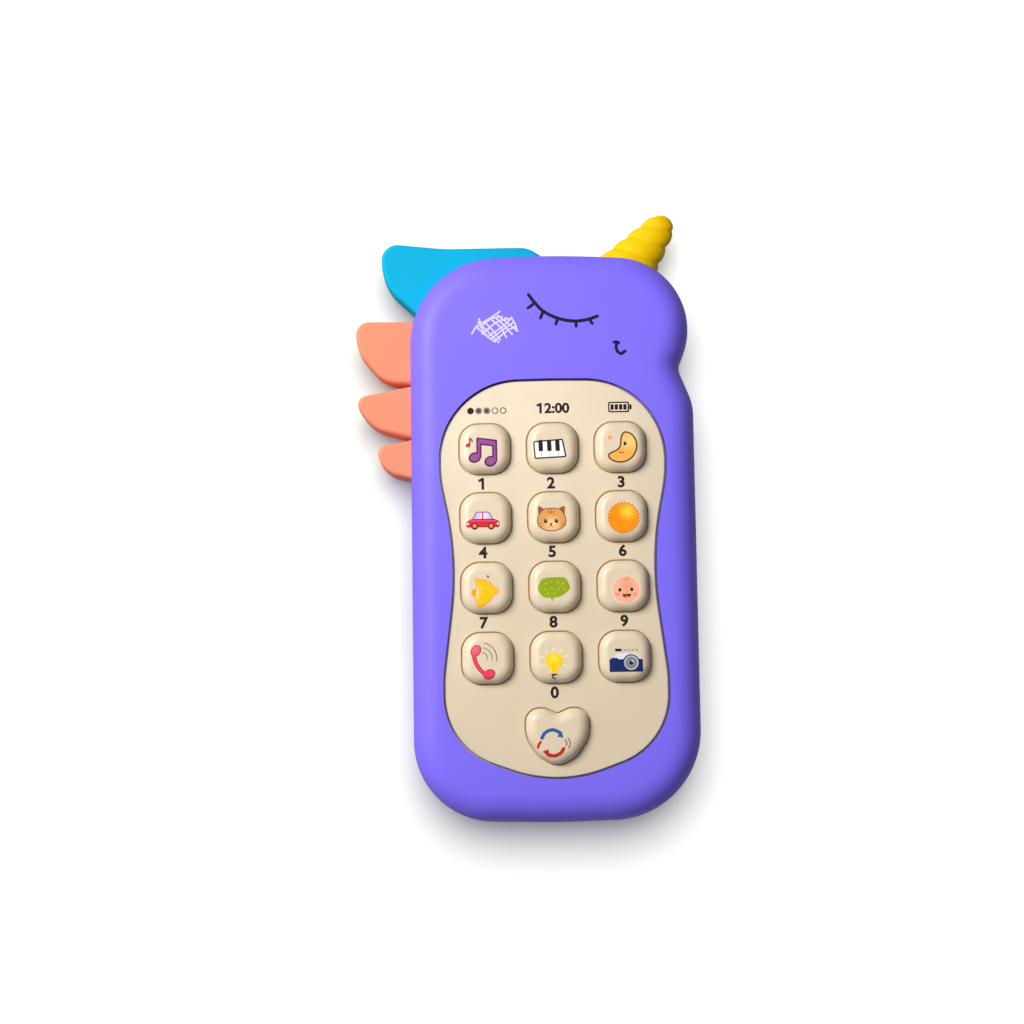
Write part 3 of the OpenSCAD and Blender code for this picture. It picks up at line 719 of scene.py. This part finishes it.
@key_print
def piano():
    board = rounded([(-5.1, -3.5, 0.5), (3.9, -3.1, 0.5), (2.9, 2.2, 0.5), (-5.5, 1.6, 0.5)], 5)
    layers = outlined(board, 0.42, DARK, ink("white", 244, 242, 238))
    for x in (-3.3, -0.9, 1.4):
        layers += inked(GREY, stroke([(x + 0.05, -1.2), (x + 0.2, -3.1)], 0.14))
        layers += inked(DARK, rounded([(x - 0.6, -1.3, 0.12), (x + 0.65, -1.25, 0.12),
                                       (x + 0.5, 1.95, 0.12), (x - 0.7, 1.85, 0.12)], 3))
    return layers


@key_print
def moon():
    brown = ink("brown", 84, 48, 20)
    gold = ink("moon", 240, 172, 84, ("moon", 2.6, 1.2, 3.6, (252, 204, 122)))
    shape = smooth([
        (1.6, 4.0), (3.3, 3.3), (4.5, 1.4), (4.7, -0.7), (3.8, -2.9), (2.1, -4.4), (-0.1, -4.9),
        (-2.1, -4.5), (-3.3, -3.6), (-3.5, -2.5), (-2.7, -1.8), (-1.5, -1.3), (-0.5, -0.5),
        (-0.1, 0.8), (0.0, 2.2), (0.6, 3.5)], True)
    return outlined(shape, 0.42, brown, gold) + [
        (disc(1.3, 0.6, 0.42, 0.6, -15), DARK), (disc(1.45, 0.85, 0.13), PALE),
        (stroke([(-0.6, -1.7), (0.1, -2.1), (0.9, -1.9)], 0.22), brown),
        (star(-2.9, 2.3, 5, 1.35, 0.8), ink("blush_moon", 244, 200, 160)),
        (star(-2.9, 2.3, 5, 0.8, 0.45), ink("star", 232, 152, 106))]


@key_print
def car():
    red, rim = ink("car_red", 206, 32, 62), ink("car_edge", 140, 16, 50)
    tyre, hub = ink("tyre", 96, 20, 36), ink("hub", 240, 138, 70)
    glass = ink("glass", 190, 172, 222, ("car", -0.6, 0.4, 2.5, (226, 216, 240)))
    cabin = rounded([(-3.9, -0.9, 0.3), (2.3, -0.9, 0.3), (1.0, 1.5, 0.8), (-2.7, 1.5, 0.8)], 5)
    body = rounded([(-5.5, -2.9, 0.5), (3.8, -2.9, 0.5), (3.9, -1.3, 0.8), (2.4, -0.55, 0.8),
                    (-3.9, -0.55, 0.8), (-5.4, -1.3, 0.8)], 5)
    layers = outlined(cabin, 0.28, ink("car_frame", 120, 84, 132), glass)
    layers += inked(red, bar(-1.0, -0.7, -0.65, 1.3, 0.1)) + outlined(body, 0.22, rim, red)
    layers += inked(PALE, disc(-5.0, -1.9, 0.35, 0.3), disc(3.4, -1.9, 0.35, 0.3))
    layers += inked(ink("car_line", 236, 96, 110), stroke([(-4.3, -1.1), (2.8, -1.1)], 0.16))
    for x in (-3.1, 1.5):
        layers += [(disc(x, -2.6, 0.95), tyre), (disc(x, -2.5, 0.55), hub)]
    return layers


@key_print
def cat():
    line, tan = ink("cat_line", 140, 84, 46), ink("cat_ear", 176, 112, 96)
    fur = ink("fur", 214, 150, 82, ("cat", -0.6, -2.4, 3.4, (242, 198, 140)))
    head = smooth([
        (-0.6, 2.3), (1.6, 2.0), (3.0, 0.4), (3.4, -1.6), (2.7, -3.1), (0.9, -4.1), (-0.7, -4.3),
        (-2.4, -4.1), (-4.1, -3.1), (-4.7, -1.6), (-4.3, 0.4), (-2.8, 2.0)], True)
    layers = []
    for x in (-1, 1):
        ear = [(-0.65 + x * 3.8, 3.1, 0.4), (-0.65 + x * 1.5, 1.7, 0.2),
               (-0.65 + x * 3.6, -0.4, 0.3)]
        layers += outlined(rounded(ear, 4), 0.3, line, tan)
    layers += outlined(head, 0.25, line, fur)
    for x in (-2.3, 0.7):
        layers += [(disc(x, -1.4, 0.5, 0.6), DARK), (disc(x + 0.15, -1.15, 0.15), PALE)]
    layers += inked(DARK, disc(-0.8, -2.3, 0.35, 0.25))
    layers += inked(line, *[stroke([(-0.8 + x, -3.1), (-0.8 + x / 3, -2.9), (-0.8, -2.5)], 0.16)
                            for x in (-0.6, 0.6)])
    for x, top in ((-1.5, 1.5), (-0.7, 1.8), (0.1, 1.5)):
        layers += inked(line, stroke([(x, top), (-0.7 + (x + 0.7) * 0.6, 0.7)], 0.22))
    for x in (-1, 1):
        for y in (-2.2, -2.9):
            layers += inked(line, stroke([(-0.65 + x * 2.6, y), (-0.65 + x * 3.9, y + 0.15)], 0.1))
    return layers


@key_print
def sun():
    core = ink("sun", 244, 142, 0, ("sun", 1.6, 1.0, 3.4, (255, 200, 50)))
    return [(star(0.4, -0.8, 26, 4.6, 4.15), ink("sun_rim", 222, 126, 4)),
            (disc(0.4, -0.8, 4.05, steps=64), core)]


@key_print
def bell():
    rim = ink("bell_rim", 236, 150, 24)
    # The pale spot fading in from the bell's left side is a painted highlight, a glare on the gold
    # print.
    gold = ink("bell", 254, 188, 10, ("bell", -4.2, -1.2, 3.4, (250, 236, 190)))
    shape = rounded([
        (-2.4, -5.7, 0.4), (-0.8, -5.2, 0.5), (1.0, -3.9, 1.5), (2.0, -2.3, 0.8), (3.6, -1.5, 0.5),
        (3.1, -0.5, 0.5), (1.9, 0.3, 0.8), (0.3, 1.9, 1.5), (-1.6, 2.2, 0.5), (-3.4, 2.6, 0.4),
        (-2.9, 0.4, 1.2), (-3.4, -3.0, 3)], 5)
    mark = rounded([(0.0, 2.8, 0.1), (0.5, 2.4, 0.1), (0.8, 3.0, 0.1), (0.2, 3.4, 0.1)], 3)
    return inked(rim, disc(-3.5, -1.6, 0.75, 1.0)) + outlined(shape, 0.25, rim, gold) + [
        (stroke([(-2.3, 1.4), (-1.9, -1.7), (-1.6, -4.8)], 0.2), ink("bell_line", 246, 170, 40)),
        (mark, GREY)]


@key_print
def bubble():
    lime = ink("lime", 168, 182, 10, ("bubble", 0, 0.2, 3.6, (188, 204, 40)))
    shape = smooth([
        (-4.8, -0.4), (-4.3, 0.9), (-3.5, 2.0), (-1.6, 2.4), (0.6, 2.4), (2.6, 2.3), (3.5, 1.2),
        (4.1, -0.6), (2.9, -2.0), (1.2, -3.0), (-0.5, -3.4), (-0.9, -4.5), (-1.3, -3.4),
        (-3.2, -3.1), (-4.3, -1.9)][::-1], True, 6)
    specks = [(-2.6, 0.7), (-1.0, 1.2), (0.8, 0.9), (2.3, 0.6), (-2.9, -0.9), (-0.9, -0.6),
              (1.0, -0.9), (2.6, -0.9), (-0.2, -2.1), (-2.0, -2.0)]
    return outlined(shape, 0.2, ink("lime_rim", 140, 160, 16), lime) + inked(
        ink("speck", 194, 208, 70), *[disc(*at, 0.22, 0.18) for at in specks])


@key_print
def baby():
    skin = ink("skin", 238, 178, 146, ("baby", 1.0, -0.7, 3.4, (232, 158, 118)))
    mouth = rounded([(-0.6, -2.6, 0.2), (0.0, -3.5, 0.4), (1.6, -3.4, 0.4), (2.1, -2.5, 0.2)], 4)
    layers = [(disc(0.7, -1.3, 4.1, steps=64), ink("skin_rim", 242, 204, 172)),
              (disc(0.7, -1.3, 3.7, steps=64), skin)]
    layers += inked(ink("blush", 240, 142, 122), disc(-1.8, -2.6, 0.7, 0.5),
                    disc(3.1, -2.6, 0.7, 0.5))
    layers += inked(DARK, disc(-1.1, -1.4, 0.42, 0.5), disc(2.2, -1.3, 0.42, 0.5))
    layers += [(mouth, ink("mouth", 96, 24, 26)),
               (disc(0.8, -3.2, 0.6, 0.22), ink("tongue", 226, 90, 84)),
               (arc(0.6, 2.0, 0.6, -150, 40, 0.2), ink("curl", 206, 140, 96))]
    return layers


@key_print
def call():
    red = ink("call", 224, 66, 92, ("call", -3.4, 2.2, 2.4, (240, 104, 122)))

    def handset(d):
        return [disc(-3.2, 1.9, 1.75 - d, 1.35 - d, 55), disc(0.4, -4.6, 1.75 - d, 1.35 - d, 25),
                stroke([(-3.9, 1.2), (-3.3, -1.3), (-2.0, -3.4), (0.0, -5.2)], 1.15 - 2 * d)]

    layers = inked(ink("call_rim", 186, 36, 66), *handset(0)) + inked(red, *handset(0.25))
    waves = [arc(-1.7, -0.1, r, -12, 78, 0.22) for r in (1.6, 2.9, 4.2)]
    return layers + inked(GREY, *waves)


@key_print
def bulb():
    gold = ink("bulb", 250, 204, 8, ("bulb", -0.9, -0.7, 2.2, (255, 226, 60)))
    halo = ink("halo", 246, 226, 150, ("bulb", -0.7, -1.0, 4.0, (252, 228, 96)))
    shape = smooth([
        (-0.7, 1.0), (0.8, 0.6), (1.7, -0.6), (1.5, -2.0), (0.6, -3.0), (0.3, -4.3), (-0.7, -4.5),
        (-1.7, -4.3), (-2.0, -3.0), (-2.9, -2.0), (-3.1, -0.6), (-2.2, 0.6)][::-1], True, 6)
    layers = inked(halo, *[
        stroke([(-0.7 + 2.9 * math.cos(a), -1.1 + 2.7 * math.sin(a)),
                (-0.7 + 4.0 * math.cos(a), -1.1 + 3.6 * math.sin(a))], 0.4)
        for a in np.radians([-25, 20, 55, 90, 125, 160, 205])])
    layers += outlined(shape, 0.22, ink("bulb_rim", 244, 206, 60), gold)
    layers += inked(ink("filament", 226, 160, 20),
                    stroke([(-1.3, -1.0), (-1.0, -2.2), (-0.9, -4.0)], 0.14),
                    stroke([(-0.1, -1.0), (-0.4, -2.2), (-0.5, -4.0)], 0.14))
    return layers + inked(
        DARK, stroke([(-1.4, -4.9), (0.0, -4.9)], 0.3), arc(-0.7, -5.5, 0.5, 60, 300, 0.28))


@key_print
def camera():
    body = rounded([(-4.4, -4.5, 0.3), (4.8, -4.5, 0.3), (4.8, -1.0, 0.4), (-1.8, -1.0, 0.3),
                    (-2.4, -0.6, 0.2), (-3.6, -0.6, 0.2), (-4.4, -1.1, 0.3)], 4)
    top = rounded([(-3.2, -1.1, 0.2), (3.9, -1.1, 0.2), (3.1, 0.6, 0.4), (-2.6, 0.6, 0.4)], 4)
    layers = inked(ink("camera_top", 214, 222, 236), top)
    layers += outlined(body, 0.22, ink("camera_edge", 14, 38, 96), ink("camera_blue", 22, 72, 152))
    layers += inked(DARK, bar(-2.8, 1.2, -1.0, 1.9, 0.1))
    layers += inked(GREY, *[bar(x, 1.4, x + 0.7, 1.65, 0.1) for x in (-0.5, 0.6, 1.7, 2.8)])
    for r, steps, colour in ((2.35, 48, DARK), (2.05, 48, ink("ring", 168, 174, 182)),
                             (1.45, 32, ink("ring_dark", 84, 92, 104)),
                             (1.15, 32, ink("glass_grey", 140, 148, 160)), (0.6, 32, DARK)):
        layers += inked(colour, disc(1.6, -2.0, r, steps=steps))
    return layers + inked(PALE, disc(1.9, -1.6, 0.22))


@key_print
def heart():
    blue, red = ink("arrow_blue", 40, 92, 150), ink("arrow_red", 192, 40, 36)
    layers = inked(
        blue, stroke([(-4.4, 0.5), (-3.5, 1.9), (-1.8, 2.7), (-0.1, 2.3), (0.8, 1.5)], 0.95),
        rounded([(-0.2, 0.8, 0.15), (1.5, 0.5, 0.15), (1.0, 2.5, 0.15)], 3))
    layers += inked(
        red, stroke([(1.5, -2.5), (0.6, -3.7), (-1.1, -4.4), (-2.7, -4.1)], 0.95),
        rounded([(-4.3, -3.1, 0.15), (-2.5, -4.9, 0.15), (-2.6, -2.6, 0.15)], 3),
        stroke([(-5.5, -2.0), (-5.3, -1.3), (-4.8, -0.6)], 0.7))
    return layers + inked(
        GREY, arc(1.4, -1.0, 1.0, -45, 60, 0.32), arc(1.4, -1.0, 1.9, -40, 45, 0.32))


def flat_layer(z):
    """Copies of a level face, each standing prouder by some height."""
    def copy(proud):
        return prism("copy", rectangle((-60, -100), (60, 100), 5), z - 5, z + proud)
    return copy


def face_print():
    """The closed eye with its lashes, the smile and the scribbled cheek."""
    def lines(material, width, *strokes):
        return inked(material, *[stroke(line, width) for line in strokes])

    layers = lines(NAVY, 0.95, [(-6.0, 67.6), (-4.2, 65.2), (-1.8, 62.7), (2.1, 60.7), (6.4, 59.8),
                                (10.2, 60.1), (13.4, 61.1)])
    layers += lines(
        NAVY, 0.85, [(-4.4, 65.3), (-5.2, 64.5), (-6.2, 63.8)],
        [(-1.8, 62.8), (-2.3, 61.9), (-2.7, 60.8)], [(2.1, 60.6), (1.9, 59.9), (1.6, 59.0)],
        [(7.3, 59.7), (7.3, 59.0), (7.3, 58.3)], [(11.3, 60.2), (11.5, 59.6), (11.9, 59.0)])
    layers += lines(NAVY, 0.8, [(17.9, 53.5), (18.6, 53.6), (19.3, 53.3)])
    layers += lines(NAVY, 0.85, [(18.7, 53.3), (18.5, 52.0), (18.9, 50.8), (19.9, 50.2),
                                 (21.0, 50.9)])
    layers += lines(
        LILAC, 0.5, [(-22.2, 56.6), (-21.0, 58.4), (-19.2, 59.7), (-16.6, 61.2), (-14.2, 62.9)],
        [(-20.1, 60.8), (-19.2, 57.8), (-17.8, 55.6)], [(-21.0, 58.6), (-18.4, 56.2), (-15.7, 54.1)],
        [(-18.6, 59.9), (-16.6, 57.8), (-14.2, 54.7)], [(-16.9, 60.8), (-14.2, 58.4), (-12.4, 55.3)],
        [(-14.8, 61.7), (-11.8, 59.3), (-9.2, 57.1)], [(-18.4, 57.1), (-14.8, 59.9), (-11.2, 60.8)],
        [(-17.8, 55.6), (-13.6, 58.4), (-11.0, 60.8)], [(-15.7, 54.4), (-12.4, 57.1), (-10.0, 58.4)],
        [(-11.0, 61.1), (-10.0, 59.3), (-9.5, 57.7)], [(-19.8, 58.4), (-16.6, 60.8), (-13.6, 61.4)],
        [(-20.4, 59.9), (-17.2, 56.6), (-14.6, 53.9)], [(-15.6, 61.2), (-13.0, 58.8), (-10.8, 56.2)],
        [(-19.2, 56.4), (-16.0, 59.2), (-12.4, 61.0)], [(-16.9, 54.9), (-13.6, 57.4), (-10.4, 59.6)])
    printed("print_face", layers, "housing", flat_layer(FACE_Z),
            (FACE_Z - 0.3, FACE_Z + 1))


def panel_print():
    """Status dots, battery sign, clock and digits."""
    dots = [(x, 34.5) for x in (-22.9, -20.6, -18.3, -16.0, -13.7)]
    layers = inked(DARK, disc(*dots[0], 0.95)) + inked(GREY, *[disc(*at, 0.95) for at in dots[1:]])
    layers += inked(PALE, *[disc(*at, 0.6) for at in dots[3:]])
    layers += inked(DARK, *[disc(*at, 0.35) for at in dots[1:3]])
    layers += [(bar(15.9, 33.5, 21.8, 36.5, 0.5), DARK), (bar(16.3, 33.9, 21.4, 36.1, 0.3), PALE)]
    layers += inked(DARK, bar(21.9, 34.3, 22.5, 35.7, 0.2), *[
        bar(x, 34.2, x + 0.95, 35.8, 0.1) for x in (16.55, 17.75, 18.95, 20.15)])
    under = PANEL_Z - 0.3
    printed("print_panel", layers, "housing", flat_layer(PANEL_Z),
            (under, PANEL_Z + 1))
    words = [("2:00", (1.45, 35), 3.0), ("0", (-0.6, -45), 3.3)]
    for k, word in enumerate("23456789", 1):
        words.append((word, ((-19.9, -0.6, 19.1)[k % 3], (13.7, -5.7, -25.4)[k // 3]), 3.3))
    meshes = [raised(*digits(*word), under, PANEL_Z + 0.03) for word in words]
    for x, y, tall in ((-20, 13.7, 3.3), (-3.4, 35, 3.0)):
        one = np.array([(0.13, 0), (0.13, 1), (-0.08, 1), (-0.46, 0.84), (-0.4, 0.64),
                        (-0.13, 0.73), (-0.13, 0)])
        one = (one - (-0.1, 0.5)) * (tall * 0.85, tall) + (x, y)
        meshes.append(prism("one", counter_clockwise(one), under, PANEL_Z + 0.03))
    piece("print_digits", joined(meshes), "housing", [INK_BLACK])


face_print()
panel_print()


# ---- Rear, door, switch, screws and batteries ----

def block(low, high, radius=0.4):
    return prism("block", rectangle(low[:2], high[:2], radius, 3), low[2], high[2])


def turned(name, profile, at=(0, 0), steps=40):
    """A turned solid from (radius, z) pairs, from its lowest end to its highest."""
    return loft(name, [ring(disc(*at, r, steps=steps), z) for r, z in profile])


def stepped(name, low, high, steps):
    """A rounded block. Each step (outwards, radius, z) is one level of its sides."""
    (x0, y0), (x1, y1) = low, high
    return loft(name, [ring(rectangle((x0 - d, y0 - d), (x1 + d, y1 + d), radius), z)
                       for d, radius, z in steps])


def rear_shell():
    rings = [body_ring(d, EDGE_DOWN - h)
             for d, h in reversed(round_edge(EDGE_IN, EDGE_DOWN, steps=18))]
    rings += body_rings((0, PART_Z - 0.4), (0.12, PART_Z - 0.16), (0.4, PART_Z - 0.06),
                        (1.35, PART_Z - 0.06), (1.35, PART_Z + 1.2), (WALL, PART_Z + 1.2),
                        (WALL, 7), (WALL + 2, 6.9), (WALL + 2, WALL))
    (x0, y0), (x1, y1) = BAY
    box = block((x0 - 1.6, y0 - 1.6, WALL - 0.1), (x1 + 1.6, y1 + 1.6, BAY_TOP_Z + 1.5))
    bosses = [rod("boss", at, 4.2, WALL - 0.1, PART_Z + 0.6) for at in CASE_SCREWS]
    bosses += [rod("post", (x, y), 2.2, WALL - 0.1, 16.4) for x in (-24.5, 24.5) for y in (30, -40)]
    bosses += [rod("post", (x, SWITCH_Y), 2, WALL - 0.1, 5.2) for x in (-11, 11)]
    shell = combined(loft("rear", rings), "UNION", [
        box, joined(bosses), rod("boss", DOOR_SCREW, 5.4, 1.8, 10.5)])
    well = [(3.7, -1), (3.7, 0), (3.2, 0.5), (3.2, 8), (1.5, 8), (1.5, PART_Z + 2)]
    cuts = [turned("well", well, at) for at in CASE_SCREWS]
    for k in range(4):
        for i in range(max(1, 6 * k)):
            a = 2 * math.pi * i / max(1, 6 * k)
            hole = (SPEAKER[0] + 3.5 * k * math.cos(a), SPEAKER[1] + 3.5 * k * math.sin(a))
            profile = [(1.2, -1), (1.2, 0), (0.9, 0.3), (0.9, WALL + 1)]
            cuts.append(turned("hole", profile, hole, 20))
    cuts.append(stepped("recess", (-8, SWITCH_Y - 4), (8, SWITCH_Y + 4),
                        [(0.3, 2.3, -1), (0.3, 2.3, 0), (0, 2, 0.3), (0, 2, 1.4)]))
    shell = combined(shell, "DIFFERENCE", [
        joined(cuts), block((-3.9, SWITCH_Y - 1.6, 0), (3.9, SWITCH_Y + 1.6, 4)),
        block((x0, y0, -1), (x1, y1, BAY_TOP_Z))])
    (u0, v0), (u1, v1) = DOOR
    recess = stepped("recess", (u0 - 0.2, v0 - 0.2), (u1 + 0.2, v1 + 0.2),
                     [(0.3, 4.3, -1), (0.3, 4.3, 0), (0, 4, 0.3), (0, 4, 1.8)])
    notches = joined([block((x - 3.2, v1 - 1, -1), (x + 3.2, v1 + 2.2, 1.3)) for x in TONGUES_X])
    shell = combined(shell, "DIFFERENCE", [recess, notches, rod("seat", DOOR_SCREW, 4.4, 0, 3.1),
                                           rod("thread", DOOR_SCREW, 1.35, 1, 9)])
    piece("shell_rear", finished(shell), "housing", [VIOLET], ["rear_shell"])


def battery_door():
    y1 = DOOR[1][1]
    low, high = DOOR_Z
    door = stepped("door", *DOOR, [(-0.35, 3.8, low), (-0.1, 3.8, low + 0.1),
                                   (0, 3.8, low + 0.35), (0, 3.8, high)])
    tongues = joined([block((x - 3, y1 - 1, low), (x + 3, y1 + 2, 1.2)) for x in TONGUES_X])
    door = combined(door, "UNION", [tongues, rod("boss", DOOR_SCREW, 4.2, low + 0.3, 3)])
    seat = [(3.3, low - 1), (3.3, low), (3, low + 0.3), (3, 1.5), (1.6, 1.5), (1.6, 4)]
    grips = joined([block((-6, y - 1.2, low - 1), (6, y, low + 0.5), 0.55)
                    for y in (-16.4, -19, -21.6)])
    door = combined(door, "DIFFERENCE", [turned("seat", seat, DOOR_SCREW), grips])
    piece("door", finished(door), "bay_door", [VIOLET], ["battery_door"])


def screw_mesh(at, head_r, head_h, shank_r, z0, z1):
    """A cross-head screw whose head looks down, with a rolled thread."""
    rim = min(0.45, head_h / 2)
    profile = [(head_r * 0.55, z0), (head_r * 0.85, z0 + rim * 0.3), (head_r, z0 + rim),
               (head_r, z0 + head_h)]
    z = z0 + head_h
    core_r = shank_r - 0.28
    while z < z1 - 1.2:
        profile += [(core_r, z + 0.01), (core_r, z + 0.35), (shank_r, z + 0.5), (shank_r, z + 0.6)]
        z += 0.9
    profile += [(core_r, z), (0.3, z1)]
    h, w = head_r * 0.6, 0.32
    cross = np.array([(w, w), (w, h), (-w, h), (-w, w), (-h, w), (-h, -w), (-w, -w), (-w, -h),
                      (w, -h), (w, -w), (h, -w), (h, w)])
    bit = loft("bit", [ring(cross * s + at, z0 + z)
                       for s, z in ((1.1, -0.2), (0.95, 0), (0.6, head_h * 0.75))])
    return finished(combined(turned("screw", profile, at), "DIFFERENCE", [bit]), 30)


def screws():
    piece("screws_case", joined([screw_mesh(at, 2.8, 1.8, 1.25, 6.2, 19) for at in CASE_SCREWS]),
          "housing", [STEEL], ["case_screws"])
    piece("screw_door", screw_mesh(DOOR_SCREW, 2.8, 1.1, 1.3, 0.4, 8.4),
          "bay_screw", [STEEL], ["door_screw"])


def switch_knob():
    """A ribbed grip on a neck, with the plate that keeps it in."""
    low, high = span("switch_knob")
    x, y = (low[:2] + high[:2]) / 2
    z = low[2]
    grip = stepped("grip", (x - 2.6, y - 3), (x + 2.6, y + 3), [
        (-0.25, 0.8, z), (-0.07, 0.8, z + 0.07), (0, 0.8, z + 0.25), (0, 0.8, z + 1)])
    ribs = joined([block((x + k - 0.3, y - 2.2, 0), (x + k + 0.3, y + 2.2, 0.7), 0.25)
                   for k in (-1.5, 0, 1.5)])
    grip = combined(grip, "DIFFERENCE", [ribs])
    knob = joined([grip, block((x - 1.6, y - 1.4, 1.3), (x + 1.6, y + 1.4, 2.5)),
                   block((x - 6.5, y - 3.4, 2.5), (x + 6.5, y + 3.4, 3.4)),
                   block((x - 1.2, y - 1.2, 3.4), (x + 1.2, y + 1.2, high[2]))])
    piece("knob", finished(knob), "power_switch", [KNOB], ["switch_knob"])


def battery(k):
    """A cell with a printed sleeve, a button at one end and a flat at the other."""
    node = f"battery_{k}"
    low, high = span(node)
    length = high[1] - low[1]
    r = (high[0] - low[0]) / 2
    bands = [
        (STEEL, [(0.3, 0), (3.9, 0), (4.1, 0.15), (4.3, 0.15)]),
        (LABEL_END, [(4.5, 0.1), (r - 0.15, 0.1), (r, 0.4), (r, 2.2)]),
        (LABEL_BAND, [(r, 13)]), (LABEL, [(r, length - 2.6)]),
        (LABEL_END, [(r, length - 1.3), (r - 0.2, length - 1.05), (3.2, length - 1.0)]),
        (STEEL, [(2.4, length - 0.95), (1.95, length - 0.8), (1.9, length - 0.2), (1.7, length),
                 (0.3, length)])]
    profile, owners, materials = [], [], []
    for material, part in bands:
        if material not in materials:
            materials.append(material)
        owners += [materials.index(material)] * len(part)
        profile += part
    sides = 64
    mesh = turned(node, profile, steps=sides)
    index = [owner for owner in owners[1:] for _ in range(sides)] + [owners[0], owners[-1]]
    up = 1 if k % 2 else -1
    x, _, z = (low + high) / 2
    place = Matrix.Translation(Vector((x, low[1] if up > 0 else high[1], z)) * MM)
    mesh.transform(place @ Matrix.Rotation(math.radians(-90 * up), 4, "X"))
    piece(f"cell_{k}", mesh, "housing", materials, [node])
    mesh.polygons.foreach_set("material_index", index)


KNOB = surface("knob_plastic", srgb(238, 232, 220), 0.35, 0.04, 4, 0.2, 0.4)
LABEL = surface("cell_silver", (0.42, 0.44, 0.46), 0.3, 0.06, 5, Metallic=0.7)
LABEL_BAND = surface("cell_green", (0.04, 0.3, 0.1), 0.28, 0.08, 5, Metallic=0.3)
LABEL_END = surface("cell_sleeve", (0.02, 0.02, 0.022), 0.3, 0.1, 3)

rear_shell()
battery_door()
screws()
switch_knob()
for k in (1, 2, 3):
    battery(k)


# ---- Materials of the CAD nodes that stay ----

def dress(materials):
    """Gives CAD nodes their finish."""
    for node, material in materials.items():
        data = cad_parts[node].data
        data.materials.clear()
        data.materials.append(material)


dress({
    "rubber_keypad": SILICONE, "circuit_board": BOARD,
    "sound_chip": RESIN, "resistors": RESIN, "indicator_leds": LENS, "capacitor": SLEEVE,
    "speaker_basket": STEEL, "speaker_cone": PAPER, "speaker_magnet": FERRITE, "switch_body": STEEL,
    "battery_wire_red": wire_sleeve("red_wire", (0.5, 0.01, 0.01)),
    "battery_wire_black": wire_sleeve("black_wire", (0.015, 0.015, 0.015)),
    "speaker_wires": wire_sleeve("blue_wire", (0.03, 0.08, 0.5)),
    "switch_wires": wire_sleeve("yellow_wire", (0.8, 0.4, 0.02)),
})
dress({node: STEEL for node in (
    "speaker_screws", "board_screws", "contact_positive", "contact_negative",
    "bridge_contact_upper", "bridge_contact_lower")})


# ---- Floor, light and camera ----

def floor():
    """A pale, faintly glowing floor. What it throws back at the phone is held back, so that the
    phone's far sides keep their shade."""
    side = 6.0
    z = -0.0001
    mesh = bpy.data.meshes.new("floor")
    mesh.from_pydata([(-side, -side, z), (side, -side, z), (side, side, z), (-side, side, z)],
                     [], [(0, 1, 2, 3)])
    material = surface("floor", (0.92, 0.92, 0.88), 0.9, 0.0, 200, specular=0.1)
    tree = material.node_tree
    link = tree.links.new
    seen = new_node(tree, "LightPath").outputs["Is Camera Ray"]
    shade = new_node(tree, "Mix")
    shade.data_type = "RGBA"
    put(shade, A=(0.4, 0.4, 0.4, 1))
    link(seen, shade.inputs["Factor"])
    link(tree.nodes["Color Ramp"].outputs["Color"], shade.inputs["B"])
    bsdf = put(tree.nodes["Principled BSDF"], Emission_Color=(0.08, 0.08, 0.08, 1))
    link(shade.outputs["Result"], bsdf.inputs["Base Color"])
    link(seen, bsdf.inputs["Emission Strength"])
    mesh.materials.append(material)
    obj = placed("floor", mesh)
    return obj


def area_light(name, place, size, power, ground, state="EXCLUDE"):
    """A soft round light aimed at the phone, on everything but the ground or on it alone."""
    data = bpy.data.lights.new(name, "AREA")
    data.shape = "DISK"
    data.size = size
    data.energy = power
    light = placed(name, data)
    light.location = place
    light.rotation_euler = (Vector((0, 0, 0.01)) - Vector(place)).to_track_quat("-Z", "Y").to_euler()
    lit = bpy.data.collections.new(name)
    lit.objects.link(ground)
    lit.collection_objects[0].light_linking.link_state = state
    light.light_linking.receiver_collection = lit


def lights(ground):
    """Soft light from all round, stronger from the left, with a soft key light from the left and
    a weak one from above. The floor has a big light of its own, which makes its pale shadows."""
    world = bpy.data.worlds.new("studio")
    world.use_nodes = True
    tree = world.node_tree
    split = new_node(tree, "SeparateXYZ")
    tree.links.new(new_node(tree, "TexCoord").outputs["Generated"], split.inputs["Vector"])
    fade = new_node(tree, "MapRange", From_Min=-1, To_Min=0.52, To_Max=0.03)
    tree.links.new(split.outputs["X"], fade.inputs["Value"])
    sky = put(tree.nodes["Background"], Color=(1, 1, 1, 1))
    tree.links.new(fade.outputs["Result"], sky.inputs["Strength"])
    bpy.context.scene.world = world
    area_light("key_light", (-0.3, 0.2, 0.42), 0.3, 3.45, ground)
    area_light("glow_light", (-0.033, 0.24, 1.0), 0.14, 0.75, ground)
    area_light("floor_light", (-0.01, 0.24, 0.9), 0.8, 9.5, ground, "INCLUDE")


def view_from_above():
    """Looks down on the phone from 8 degrees off the vertical, nearly square to it."""
    lean = math.radians(8.0)
    roll = math.radians(0.9)
    away, aside, above, aim_z = 0.6, 0.01173, 0.00552, 0.024
    ahead = Vector((0, math.sin(lean), -math.cos(lean)))
    right = Vector((1, 0, 0))
    up = Vector((0, math.cos(lean), math.sin(lean)))
    right, up = (right * math.cos(roll) - up * math.sin(roll),
                 up * math.cos(roll) + right * math.sin(roll))
    data = bpy.data.cameras.new("camera")
    data.lens = 75.3
    data.sensor_width = 36
    data.clip_end = 20
    view = placed("camera", data)
    place = Vector((0, 0, aim_z)) - ahead * away - right * aside + up * above
    view.matrix_world = Matrix((
        (right.x, up.x, -ahead.x, place.x), (right.y, up.y, -ahead.y, place.y),
        (right.z, up.z, -ahead.z, place.z), (0, 0, 0, 1)))
    bpy.context.scene.camera = view


lights(floor())
view_from_above()
bpy.context.scene.view_settings.view_transform = "Standard"
